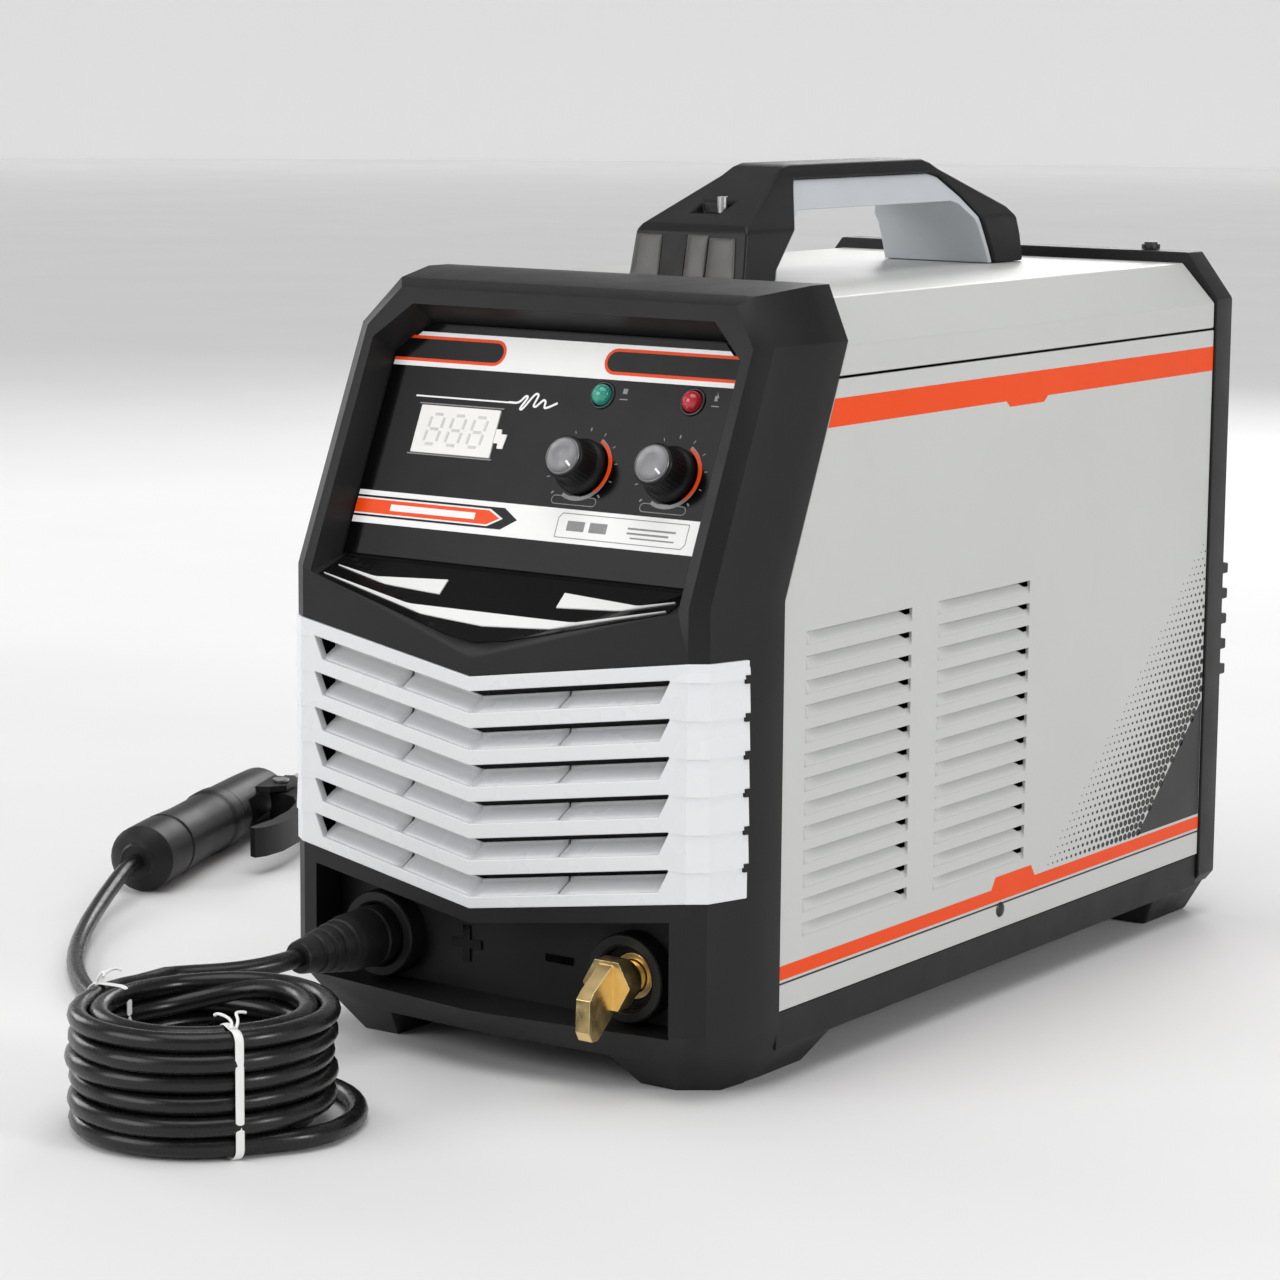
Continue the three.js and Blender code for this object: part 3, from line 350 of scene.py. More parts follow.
def ring_arc(cx, cy, r0, r1, a0, a1, n=24):
    """A band of an annulus as one outline, angles in degrees."""
    out = [(cx + r1 * math.cos(math.radians(a0 + (a1 - a0) * i / n)), cy + r1 * math.sin(math.radians(a0 + (a1 - a0) * i / n))) for i in range(n + 1)]
    out += [(cx + r0 * math.cos(math.radians(a1 + (a0 - a1) * i / n)), cy + r0 * math.sin(math.radians(a1 + (a0 - a1) * i / n))) for i in range(n + 1)]
    return out


def disc(cx, cy, r, n=24):
    return [(cx + r * math.cos(2 * math.pi * i / n), cy + r * math.sin(2 * math.pi * i / n)) for i in range(n)]


def rect(u0, u1, v0, v1):
    return [(u0, v0), (u1, v0), (u1, v1), (u0, v1)]


def stroke(points, w):
    """A polyline widened to an outline."""
    left, right = [], []
    for i, (x, y) in enumerate(points):
        a = points[max(0, i - 1)]
        b = points[min(len(points) - 1, i + 1)]
        dx, dy = b[0] - a[0], b[1] - a[1]
        l = math.hypot(dx, dy) or 1
        nx, ny = -dy / l * w / 2, dx / l * w / 2
        left.append((x + nx, y + ny))
        right.append((x - nx, y - ny))
    return left + right[::-1]


def lathe_into(bm, profile, centre, axis, seg=32, material=0, flutes=None):
    """Closed turned solid: profile of (r, s) from one pole to the other, along axis from centre."""
    axis = Vector(axis).normalized()
    side = axis.orthogonal().normalized()
    other = axis.cross(side)
    rings = []
    for r, s in profile:
        if r < 1e-9:
            rings.append([bm.verts.new(centre + axis * s * MM)])
            continue
        ring = []
        for i in range(seg):
            a = 2 * math.pi * i / seg
            rr = flutes(r, s, a) if flutes else r
            ring.append(bm.verts.new(centre + (axis * s + (side * math.cos(a) + other * math.sin(a)) * rr) * MM))
        rings.append(ring)
    made = []
    for a, b in zip(rings[:-1], rings[1:]):
        if len(a) == 1 and len(b) == 1:
            continue
        for i in range(seg):
            j = (i + 1) % seg
            if len(a) == 1:
                made.append(bm.faces.new((a[0], b[i], b[j])))
            elif len(b) == 1:
                made.append(bm.faces.new((a[i], b[0], a[j])))
            else:
                made.append(bm.faces.new((a[i], b[i], b[j], a[j])))
    for f in made:
        f.material_index = material
    return made


# ---------------------------------------------------------------- electrode lead: one cord, end to end
def catmull(points, per):
    """Points along a centripetal curve through the given points."""
    pts = [Vector(p) for p in points]
    pts = [pts[0] * 2 - pts[1]] + pts + [pts[-1] * 2 - pts[-2]]
    out = []
    for i in range(1, len(pts) - 2):
        p0, p1, p2, p3 = pts[i - 1:i + 3]
        t0 = 0.0
        t1 = t0 + max(1e-6, (p1 - p0).length ** 0.5)
        t2 = t1 + max(1e-6, (p2 - p1).length ** 0.5)
        t3 = t2 + max(1e-6, (p3 - p2).length ** 0.5)
        for k in range(per):
            t = t1 + (t2 - t1) * k / per
            a1 = p0 * ((t1 - t) / (t1 - t0)) + p1 * ((t - t0) / (t1 - t0))
            a2 = p1 * ((t2 - t) / (t2 - t1)) + p2 * ((t - t1) / (t2 - t1))
            a3 = p2 * ((t3 - t) / (t3 - t2)) + p3 * ((t - t2) / (t3 - t2))
            b1 = a1 * ((t2 - t) / (t2 - t0)) + a2 * ((t - t0) / (t2 - t0))
            b2 = a2 * ((t3 - t) / (t3 - t1)) + a3 * ((t - t1) / (t3 - t1))
            out.append(b1 * ((t2 - t) / (t2 - t1)) + b2 * ((t - t1) / (t2 - t1)))
    out.append(pts[-2].copy())
    return out



def catmull_2d(pts, per=6):
    return [(q.x, q.y) for q in catmull([(a, b, 0) for a, b in pts], per)]


def ring_half(cx, cv, half, r, n=8):
    """Outline points of a small capsule, as a closed line."""
    out = [(cx + half + r * math.sin(math.pi * i / n), cv - r * math.cos(math.pi * i / n)) for i in range(n + 1)]
    out += [(cx - half - r * math.sin(math.pi * i / n), cv + r * math.cos(math.pi * i / n)) for i in range(n + 1)]
    return out + out[:1]


def lathe_ring(bm, profile, centre, axis, seg=32):
    """Closed turned ring from a profile of (r, s) in mm."""
    axis = Vector(axis).normalized()
    side = axis.orthogonal().normalized()
    other = axis.cross(side)
    rings = []
    for i in range(seg):
        a = 2 * math.pi * i / seg
        d = side * math.cos(a) + other * math.sin(a)
        rings.append([bm.verts.new(centre + (axis * s_ + d * r) * MM) for r, s_ in profile])
    n = len(profile)
    for a, b in zip(rings, rings[1:] + rings[:1]):
        for j in range(n):
            bm.faces.new((a[j], a[(j + 1) % n], b[(j + 1) % n], b[j]))


CX, CY = -40.0, -322.0
LEAD = [(-63, -238.3, 45.8), (-63.2, -244.5, 45.7), (-64.6, -251, 45.3), (-67.6, -258.5, 44.8), (-71.8, -266.2, 44.5),
        (-76.6, -273.8, 44.5), (-81.2, -280.6, 44.7), (-84.9, -286.8, 44.9)]
TAIL = [(16.4, -314, 4.9), (13.6, -300, 4.4), (8.0, -287, 4.1), (-1.0, -276, 4.1), (-13, -267.4, 4.1), (-27, -262.2, 4.1),
        (-44, -259.6, 4.1), (-66, -257.6, 4.1), (-92, -254.6, 4.1), (-120, -249, 4.1), (-150, -239.8, 4.1), (-180, -226.4, 4.1),
        (-208, -209, 4.1), (-234, -187.6, 4.1), (-258, -162.6, 4.2), (-279, -135.4, 5.6), (-296, -108.6, 8.6),
        (-309, -84.6, 12.6), (-318.4, -65.6, 15.8), (-324.9, -50.3, 16.8)]


def coil_route():
    """Six layers of two turns: in on the top outer turn, out on the bottom outer turn."""
    R_OUT, R_IN = 47.9, 39.9
    start = math.radians(163)
    route = []
    # (radius, layer height) of each turn in the order it is wound
    zs = [1.2 + 4.05 + 8.05 * k for k in range(6)][::-1]
    turns = []
    outer = True
    for z in zs:
        order = (R_OUT, R_IN) if outer else (R_IN, R_OUT)
        for r in order:
            turns.append((r, z))
        outer = not outer
    # the last layer is left on its outer turn
    if turns[-1][0] != R_OUT:
        turns[-2], turns[-1] = turns[-1], turns[-2]
    n = 40
    for k, (r, z) in enumerate(turns):
        nxt = turns[min(k + 1, len(turns) - 1)]
        last = k == len(turns) - 1
        steps = n if not last else int(n * ((360 - 163 - 22) / 360))
        for i in range(steps):
            f = i / n
            # each turn keeps its place, then crosses to the next over its last part
            s = 0.0 if last else max(0.0, min(1.0, (f - 0.78) / 0.22))
            s = s * s * (3 - 2 * s)
            rr = r + (nxt[0] - r) * s
            zz = z + (nxt[1] - z) * s
            a = start + 2 * math.pi * (k + f)
            wob = 0.35 * math.sin(3 * a + k * 1.7) + 0.2 * math.sin(5 * a + k)
            layer = 5 - (zz - 5.25) / 8.05
            ease = 1.0 if not last else max(0.0, 1 - i / steps)
            ease *= min(1.0, (k + f) / 0.6)
            ox = 1.5 * math.sin(1.9 * layer + 0.4) * ease
            oy = 1.3 * math.cos(2.3 * layer) * ease
            route.append((CX + ox + (rr + wob) * math.cos(a), CY + oy + (rr + wob) * math.sin(a), zz + 0.25 * math.sin(2 * a + k) * ease))
    return route


def build_cord():
    lead = catmull(LEAD, 2)
    merge = []
    for ang, r, z in ((147, 55.5, 45.2), (154, 51.6, 45.3)):
        a = math.radians(ang)
        merge.append(Vector((CX + r * math.cos(a), CY + r * math.sin(a), z)))
    coil = [Vector(p) for p in coil_route()]
    leave = []
    for ang, r, z in ((-18, 49.0, 5.3), (-10, 51.6, 5.2), (-2, 54.4, 5.1)):
        a = math.radians(ang)
        leave.append(Vector((CX + r * math.cos(a), CY + r * math.sin(a), z)))
    tail = catmull(TAIL, 2)
    pts = lead + merge + coil + leave + tail
    pts = [P(*p) for p in pts]
    length = sum((b - a).length for a, b in zip(pts[:-1], pts[1:]))
    cu = bpy.data.curves.new("electrode_cable", "CURVE")
    cu.dimensions = "3D"
    cu.bevel_depth = 0.004
    cu.bevel_resolution = 5
    cu.use_fill_caps = True
    sp = cu.splines.new("POLY")
    sp.points.add(len(pts) - 1)
    for q, p in zip(sp.points, pts):
        q.co = (*p, 1)
    sp.use_smooth = True
    cu.materials.append(M["cable"])
    o = bpy.data.objects.new("electrode_cable", cu)
    bpy.context.scene.collection.objects.link(o)
    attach(o, "root")
    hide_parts("cable_lead", "cable_coil", "cable_tail")
    return o, pts, length


cable, CABLE_PTS, CABLE_LENGTH = build_cord()
print("cable length", round(CABLE_LENGTH, 4))

# ---------------------------------------------------------------- stage and light
def stage():
    me = bpy.data.meshes.new("floor")
    s = 12
    me.from_pydata([(-s, -s, 0), (s, -s, 0), (s, s, 0), (-s, s, 0)], [], [(0, 1, 2, 3)])
    floor = bpy.data.objects.new("floor", me)
    bpy.context.scene.collection.objects.link(floor)
    t = Tree("floor_pale")
    t.link(t.ramp(t.noise(3), [(0.3, (0.80, 0.80, 0.80)), (0.7, (0.83, 0.83, 0.83))]), t.bsdf.inputs["Base Color"])
    t.bsdf.inputs["Roughness"].default_value = 0.7
    t.bsdf.inputs["Specular IOR Level"].default_value = 0.2
    me.materials.append(t.mat)
    world = bpy.data.worlds.new("studio")
    bpy.context.scene.world = world
    world.use_nodes = True
    bg = world.node_tree.nodes["Background"]
    bg.inputs["Color"].default_value = (1, 1, 1, 1)
    bg.inputs["Strength"].default_value = 0.30

    def lamp(kind, name, loc, target, power, size=None, angle=None):
        d = bpy.data.lights.new(name, kind)
        d.energy = power
        if kind == "AREA":
            d.shape = "RECTANGLE"
            d.size, d.size_y = size
        else:
            d.angle = math.radians(angle)
        o = bpy.data.objects.new(name, d)
        bpy.context.scene.collection.objects.link(o)
        o.location = loc
        o.rotation_euler = (Vector(target) - Vector(loc)).to_track_quat("-Z", "Y").to_euler()

    lamp("AREA", "key", (-1.0, -2.3, 1.2), (0, -0.1, 0.15), 26, size=(1.8, 1.4))
    lamp("AREA", "right", (2.3, -0.2, 0.9), (0, 0, 0.15), 17, size=(0.6, 0.7))
    lamp("AREA", "back", (-0.8, 2.3, 1.3), (0, 0, 0.2), 17, size=(1.2, 1.0))
    lamp("AREA", "left", (-2.4, 0.1, 1.0), (0, 0, 0.15), 11, size=(0.9, 0.9))
    lamp("SUN", "overhead", (0.3, -0.4, 3), (0, 0, 0), 1.25, angle=50)

    # a pale ring far behind everything, so that the floor has no hard horizon
    n, r, h = 64, 11.0, 2.2
    me = bpy.data.meshes.new("backdrop")
    vs = [(r * math.cos(2 * math.pi * i / n), r * math.sin(2 * math.pi * i / n), z) for z in (-0.01, h) for i in range(n)]
    me.from_pydata(vs, [], [(i, (i + 1) % n, n + (i + 1) % n, n + i) for i in range(n)])
    ring = bpy.data.objects.new("backdrop", me)
    bpy.context.scene.collection.objects.link(ring)
    bt = Tree("backdrop_pale")
    bt.bsdf.inputs["Base Color"].default_value = (0.8, 0.8, 0.8, 1)
    bt.bsdf.inputs["Emission Color"].default_value = (1, 1, 1, 1)
    bt.bsdf.inputs["Emission Strength"].default_value = 0.24
    me.materials.append(bt.mat)
    bpy.context.scene.view_settings.view_transform = "Standard"


stage()

# ---------------------------------------------------------------- shared measures of the case
LEAN = 0.44
PHI = math.atan(LEAN)
COS, SIN = math.cos(PHI), math.sin(PHI)
KNEE_Z, FRONT_Y, PROW_Y, FACE_W = 198.65, -193.36, -205.66, 96.74
RIB_Y, RIB_KNEE_Z = -148.5, 193.86
PANEL_D, PANEL_X, REAR_Y0 = 13.2, 110.9, 221.3
PY, PZ = FRONT_Y + PANEL_D * COS, KNEE_Z - PANEL_D * SIN


def panel3(u, v, d):
    """Overlay coordinates (mm right, mm up the slope, mm out of it)."""
    y, z = -d, v
    return P(u, PY + y * COS + z * SIN, PZ - y * SIN + z * COS)


OUT = Vector((0, -COS, SIN))


def side3(s):
    return lambda u, v, d: P(s * (PANEL_X + d), u, v)


# ---------------------------------------------------------------- printed overlay
def capsule(x0, x1, v0, v1, left=True, right=True, n=10):
    r = (v1 - v0) / 2
    c = (v0 + v1) / 2
    pts = []
    if right:
        pts += [(x1 - r + r * math.sin(math.pi * i / n), c - r * math.cos(math.pi * i / n)) for i in range(n + 1)]
    else:
        pts += [(x1, v0), (x1, v1)]
    if left:
        pts += [(x0 + r - r * math.sin(math.pi * i / n), c + r * math.cos(math.pi * i / n)) for i in range(n + 1)]
    else:
        pts += [(x0, v1), (x0, v0)]
    return pts


L, R = -88.4, 88.4
KNOB_V, LED_V = 56.4, 87.2
print3 = lambda u, v, d: panel3(u, v + 5.2, d)
plates("overlay_bands", [
    [(L, 88.8), (R, 88.8), (R, 94.1), (77.5, 104), (-77.5, 104), (L, 94.1)],
    rect(L, R, 19.2, 33.4)], print3, -0.1, 0.10, "white_panel")
plates("overlay_orange", [
    capsule(L, -31.5, 90.9, 102.2, left=False), capsule(18.5, R, 90.9, 102.2, right=False),
    [(L, 23.6), (-19.5, 23.6), (-13.5, 26.6), (-19.5, 29.6), (L, 29.6)]], print3, 0.05, 0.17, "orange_panel")
plates("overlay_capsules", [
    capsule(L, -32.9, 92.3, 100.8, left=False), capsule(19.9, R, 92.3, 100.8, right=False)],
    print3, 0.12, 0.24, "black_gloss")
plates("overlay_arrow", [
    [(L, 22.0), (-12.0, 22.0), (-4.6, 26.6), (-12.0, 31.2), (L, 31.2), (L, 30.3), (-18.9, 30.3), (-11.7, 26.6), (-18.9, 22.9), (L, 22.9)]],
    print3, 0.05, 0.19, "black_gloss")
plates("overlay_arrow_core", [[(-70, 25.2), (-26, 25.2), (-26, 28.0), (-70, 28.0)]], print3, 0.1, 0.23, "white_panel")

wave = [(-24.0, 76.0), (-19.0, 76.3), (-15.8, 79.2), (-15.0, 78.8), (-17.4, 73.6), (-16.6, 73.4), (-11.2, 80.4), (-9.9, 80.0), (-11.0, 75.2),
        (-9.9, 75.0), (-6.6, 78.0), (-5.6, 77.4), (-5.4, 74.9), (-4.2, 74.9), (0.6, 77.2)]
plates("overlay_lines", [
    rect(-72, -24, 75.55, 76.25),
    stroke([tuple(p) for p in catmull_2d(wave)], 0.95),
    ], print3, 0.0, 0.12, "white_panel")
# thin outline on the lower band, small level marks beside the lamps, plates under the knobs
box_line = [(15.6, 21.4), (77.0, 21.4), (78.6, 23.4), (78.6, 31.6), (17.2, 31.6), (15.6, 29.6)]
plates("overlay_outline", [stroke([box_line[i], box_line[(i + 1) % 6]], 0.35) for i in range(6)]
       + [rect(20.5, 29.0, 24.4, 28.6), rect(31.5, 40.0, 24.4, 28.6), rect(50, 73, 27.4, 28.2), rect(50, 70, 25.4, 26.2), rect(52, 73, 23.6, 24.2)],
       print3, 0.05, 0.16, "grey_print")
marks = []
for kx in (20.6, 64.0):
    marks.append(stroke(ring_half(kx, 42.2, 9.2, 1.75), 0.34))
    for i in range(11):
        a = math.radians(225 - 27 * i)
        c, s_ = math.cos(a), math.sin(a)
        marks.append(stroke([(kx + 15.4 * c, KNOB_V + 15.4 * s_), (kx + 16.8 * c, KNOB_V + 16.8 * s_)], 0.4 if i % 5 else 0.7))
marks += [rect(30.4, 34.2, 85.8, 86.3), rect(31.2, 33.4, 88.4, 90.6), rect(74.8, 78.2, 85.8, 86.3),
          [(75.6, 88.2), (77.2, 88.2), (76.7, 89.6), (77.6, 89.6), (76.2, 92.2), (76.5, 90.4), (75.5, 90.4)]]
plates("overlay_marks", marks, panel3, 0.0, 0.11, "grey_print")
arcs_grey, arcs_orange = [], []
for kx in (20.6, 64.0):
    arcs_grey.append(ring_arc(kx, KNOB_V, 12.6, 14.2, -118, 62, 30))
    taper = []
    n = 26
    for i in range(n + 1):
        a = math.radians(62 - 112 * i / n)
        w = 0.35 + 1.5 * math.sin(math.pi * (0.12 + 0.8 * i / n))
        taper.append((a, w))
    arcs_orange.append([(kx + 12.5 * math.cos(a), KNOB_V + 12.5 * math.sin(a)) for a, w in taper]
                       + [(kx + (12.5 + w) * math.cos(a), KNOB_V + (12.5 + w) * math.sin(a)) for a, w in taper[::-1]])
plates("overlay_arcs", arcs_grey, panel3, 0.0, 0.12, "grey_print")
plates("overlay_arcs_orange", arcs_orange, panel3, 0.05, 0.18, "orange_panel")

# ---------------------------------------------------------------- display: pale lens with faint digits and a side tab
D0, D1, V0, V1 = -67.6, -26.4, 56.6, 77.4
segs = []
for k in range(3):
    cx, cv, w, h, t = -58.0 + k * 11.2, 67.1, 6.6, 13.0, 1.25
    for a, b in (((-w / 2 + t, h / 2), (w / 2 - t, h / 2)), ((-w / 2 + t, 0), (w / 2 - t, 0)), ((-w / 2 + t, -h / 2), (w / 2 - t, -h / 2)),
                 ((-w / 2, h / 2 - t), (-w / 2, t * 0.6)), ((w / 2, h / 2 - t), (w / 2, t * 0.6)),
                 ((-w / 2, -t * 0.6), (-w / 2, -h / 2 + t)), ((w / 2, -t * 0.6), (w / 2, -h / 2 + t))):
        lean = 0.12
        segs.append(stroke([(cx + a[0] + lean * a[1], cv + a[1]), (cx + b[0] + lean * b[1], cv + b[1])], t))
plates("display_digits", segs, lambda u, v, d: panel3(u, v, d + 0.5), -0.05, 0.10, "digit")
plates("display_tab", [[(D1 + 0.2, 63.2), (D1 + 2.4, 63.2), (D1 + 2.6, 61.0), (D1 + 5.4, 61.0), (D1 + 6.2, 67.2), (D1 + 3.2, 67.2), (D1 + 3.0, 69.2), (D1 + 0.2, 69.2)]],
       panel3, -0.1, 0.5, "window")
frame_line = [rect(D0 - 1.3, D1 + 1.3, V1 + 0.35, V1 + 0.9), rect(D0 - 1.3, D1 + 1.3, V0 - 0.9, V0 - 0.35)]
plates("display_rim", frame_line, panel3, -0.05, 0.35, "grey_print")


# ---------------------------------------------------------------- knobs
def knob(name, x, body, node):
    c = panel3(x, KNOB_V, 0)

    def flute(r, s, a):
        if 4.2 < s < 13.2 and r > 8:
            return r - 0.28 * (0.5 + 0.5 * math.cos(30 * a)) ** 2
        return r

    bm = bmesh.new()
    lathe_into(bm, [(0, 0.5), (11.2, 0.5), (11.6, 0.8), (11.5, 2.4), (10.8, 3.2), (9.9, 4.0), (9.75, 4.4), (9.5, 7), (9.25, 10), (9.0, 12.8),
                    (8.85, 13.6), (8.3, 14.4), (7.9, 14.6), (0, 14.6)], c, OUT, seg=120, flutes=flute)
    o = piece(name, bm, "knob_plastic", body)
    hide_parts(node)
    bm = bmesh.new()
    lathe_into(bm, [(0, 14.3), (7.95, 14.3), (8.05, 14.7), (7.8, 15.15), (7.3, 15.35), (7.1, 15.2), (6.9, 15.15), (4, 15.3), (0, 15.35)], c, OUT, seg=64)
    o = piece(name + "_cap", bm, "knob_cap", body)
    soften_light(o)
    a = math.radians(-38)
    up = Vector((0, SIN, COS))
    right = Vector((1, 0, 0))

    def dial(u, v, d):
        p, q = u * math.cos(a) - v * math.sin(a), u * math.sin(a) + v * math.cos(a)
        return c + (right * p + up * q) * MM + OUT * d * MM

    plates(name + "_pointer", [[(3.4, -0.45), (6.6, -0.45), (6.6, 0.45), (3.4, 0.45)]], dial, 15.0, 15.42, "white_panel", body)


def soften_light(o, width=0.12):
    b = o.modifiers.new("edge", "BEVEL")
    b.width = width * MM
    b.segments = 2
    b.limit_method = "ANGLE"
    b.angle_limit = math.radians(30)


knob("knob_left", 20.6, "knob_arc_force_body", "knob_arc_force")
knob("knob_right", 64.0, "knob_current_body", "knob_current")
for x, nm in ((21.6, "lamp_ring_left"), (65.6, "lamp_ring_right")):
    bm = bmesh.new()
    lathe_ring(bm, [(4.75, -0.3), (4.75, 0.45), (5.1, 0.75), (5.7, 0.7), (6.0, 0.25), (6.0, -0.3)], panel3(x, LED_V, 0), OUT, 40)
    piece(nm, bm, "dark_steel", "root")

# ---------------------------------------------------------------- side panels: stripes, fade, louvres, dark sheet painting the shade behind the louvre holes
front_edge = lambda z: RIB_Y + 0.3 + LEAN * max(0.0, z - RIB_KNEE_Z) + 0.25
for s, nm in ((1, "right"), (-1, "left")):
    to3 = side3(s)
    y1 = REAR_Y0 - 0.4
    plates(f"stripe_{nm}", [
        [(front_edge(263.5), 263.5), (25.5, 263.5), (29.0, 260.9), (58.5, 260.9), (62.0, 263.5), (y1, 263.5), (y1, 274.8), (front_edge(274.8), 274.8)],
        [(RIB_Y + 0.6, 44.2), (y1, 44.2), (y1, 50.0), (61.0, 50.0), (57.5, 55.2), (26.0, 55.2), (22.5, 50.0), (RIB_Y + 0.6, 50.0)]],
        to3, -0.1, 0.09, "orange_print")
    # a thin black line just under the lower orange stripe, drawn as a flat black plate
    plates(f"stripe_line_{nm}", [rect(RIB_Y + 0.6, y1, 42.3, 43.1)], to3, -0.1, 0.08, "black_print")
    dots = []
    ax, az, bx, bz = 70.0, 51.5, 221.0, 186.0
    nxl = math.hypot(bx - ax, bz - az)
    nx_, nz_ = (bz - az) / nxl, -(bx - ax) / nxl
    dmax = (221.0 - ax) * nx_ + (51.5 - az) * nz_
    pitch, rise = 4.3, 3.3
    row = 0
    z = 52.6
    while z < 190:
        y = 219.4 - (pitch / 2 if row % 2 else 0)
        while y > 66:
            dd = (y - ax) * nx_ + (z - az) * nz_
            if 0 < dd < 0.585 * dmax:
                t = min(1.0, dd / (0.58 * dmax))
                r = 0.3 + 1.62 * t ** 0.9
                dots.append([(y + r * 1.12 * math.cos(2 * math.pi * i / 8 + 0.39), z + r * 0.92 * math.sin(2 * math.pi * i / 8 + 0.39)) for i in range(8)])
            y -= pitch
        z += rise
        row += 1
    dots.append([(158.6, 51.3), (220.4, 51.3), (220.4, 106.6)])
    plates(f"fade_{nm}", dots, to3, -0.08, 0.07, "black_print")

    bm = bmesh.new()
    for i in range(13):
        zc = 182.4 - i * 9.88
        zt, zb = zc + 0.85, zc - 4.4
        for a, b in ((-130.6, -49.2), (-27.8, 50.6)):
            ny, nz = 16, 7
            ys = [a + (b - 3.4 - a) * k / ny for k in range(ny + 1)] + [b - 0.05]
            grid_o, grid_i = [], []
            for k, y in enumerate(ys):
                rear = k == len(ys) - 1
                depth = 2.9 * min(1.0, max(0.0, (y - a) / 12.0)) ** 0.55
                top = 0.5 if k >= len(ys) - 2 else 1.0
                ro, ri = [], []
                for m in range(nz + 1):
                    t = top * m / nz
                    dep = depth * (t ** 1.25)
                    zz = zb + (zt - zb) * t if m else zb - 0.35
                    dep += 0 if m else 0.03
                    ro.append(bm.verts.new(P(s * (PANEL_X - dep), y, zz)))
                    ri.append(bm.verts.new(P(s * (PANEL_X - dep - 0.8), y, zz)))
                grid_o.append(ro)
                grid_i.append(ri)
            for k in range(len(ys) - 1):
                if k == len(ys) - 2:
                    pass
                for m in range(nz):
                    bm.faces.new((grid_o[k][m], grid_o[k + 1][m], grid_o[k + 1][m + 1], grid_o[k][m + 1]))
                    bm.faces.new((grid_i[k][m], grid_i[k][m + 1], grid_i[k + 1][m + 1], grid_i[k + 1][m]))
                bm.faces.new((grid_o[k][0], grid_i[k][0], grid_i[k + 1][0], grid_o[k + 1][0]))
                bm.faces.new((grid_o[k][nz], grid_o[k + 1][nz], grid_i[k + 1][nz], grid_i[k][nz]))
            for m in range(nz):
                bm.faces.new((grid_o[0][m], grid_o[0][m + 1], grid_i[0][m + 1], grid_i[0][m]))
                bm.faces.new((grid_o[-1][m], grid_i[-1][m], grid_i[-1][m + 1], grid_o[-1][m + 1]))
    piece(f"louvres_{nm}", bm, "grey_paint", "root")
    # a flat near-black sheet inside each side panel: painted shade, so the louvre holes read black
    plates(f"louvre_shade_sheet_{nm}", [[(-144, 36), (214, 36), (214, 280), (-112, 280), (-144, 200)]],
           (lambda s: (lambda u, v, d: P(s * (104.6 + d), u, v)))(s), 0, 0.8, "dark_inside")

# ---------------------------------------------------------------- grille: sloping shelves, laps round the corners, dark sheet painting the shade behind the slots
def wall_y(x):
    return PROW_Y + (FRONT_Y - PROW_Y) * min(1.0, abs(x) / FACE_W)


TOPC, TOPE, BOTC, BOTE = 164.2, 177.5, 69.0, 81.9
PITCH, SLOT_H = 15.0, 8.8
drop = TOPE - TOPC
bm = bmesh.new()
for i in range(6):
    zc = TOPC - 6.3 - i * PITCH
    ze = zc + drop * (89 / FACE_W)
    line = lambda x: zc + (ze - zc) * abs(x) / 89
    prof = [(0.9, -SLOT_H - 0.1), (2.0, -8.0), (5.2, -6.3), (8.6, -4.7), (8.9, -3.3), (9.3, -3.0), (10.0, -3.2), (10.2, -6.2), (6.0, -8.4), (2.4, -9.9), (0.9, -10.2)]
    for s in (-1, 1):
        for x0, x1 in ((0.0, 38.85), (40.15, 85.6)):
            rings = []
            for k in range(9):
                x = x0 + (x1 - x0) * k / 8
                rings.append([bm.verts.new(P(s * x, wall_y(x) + dd, line(x) + zz)) for dd, zz in prof])
            n = len(prof)
            for a, b in zip(rings[:-1], rings[1:]):
                for j in range(n):
                    bm.faces.new((a[j], a[(j + 1) % n], b[(j + 1) % n], b[j]))
            bm.faces.new(rings[0])
            bm.faces.new(rings[-1][::-1])
o = piece("grille_shelves", bm, "silver_plastic", "root")
w = o.modifiers.new("normals", "WEIGHTED_NORMAL")
# a flat near-black sheet 14 mm behind the grille face: painted shade, so the gaps between the shelves read black
bm = bmesh.new()
for s in (-1, 1):
    prism_into(bm, [(0.2, TOPC - 1), (90, TOPE - 2), (90, BOTE + 2), (0.2, BOTC + 1)],
               lambda u, v, d, s=s: P(s * u, wall_y(u) + 14.0 + d, v), 0, 1.0)
piece("grille_shade_sheet", bm, "dark_inside", "root", smooth_faces=False)

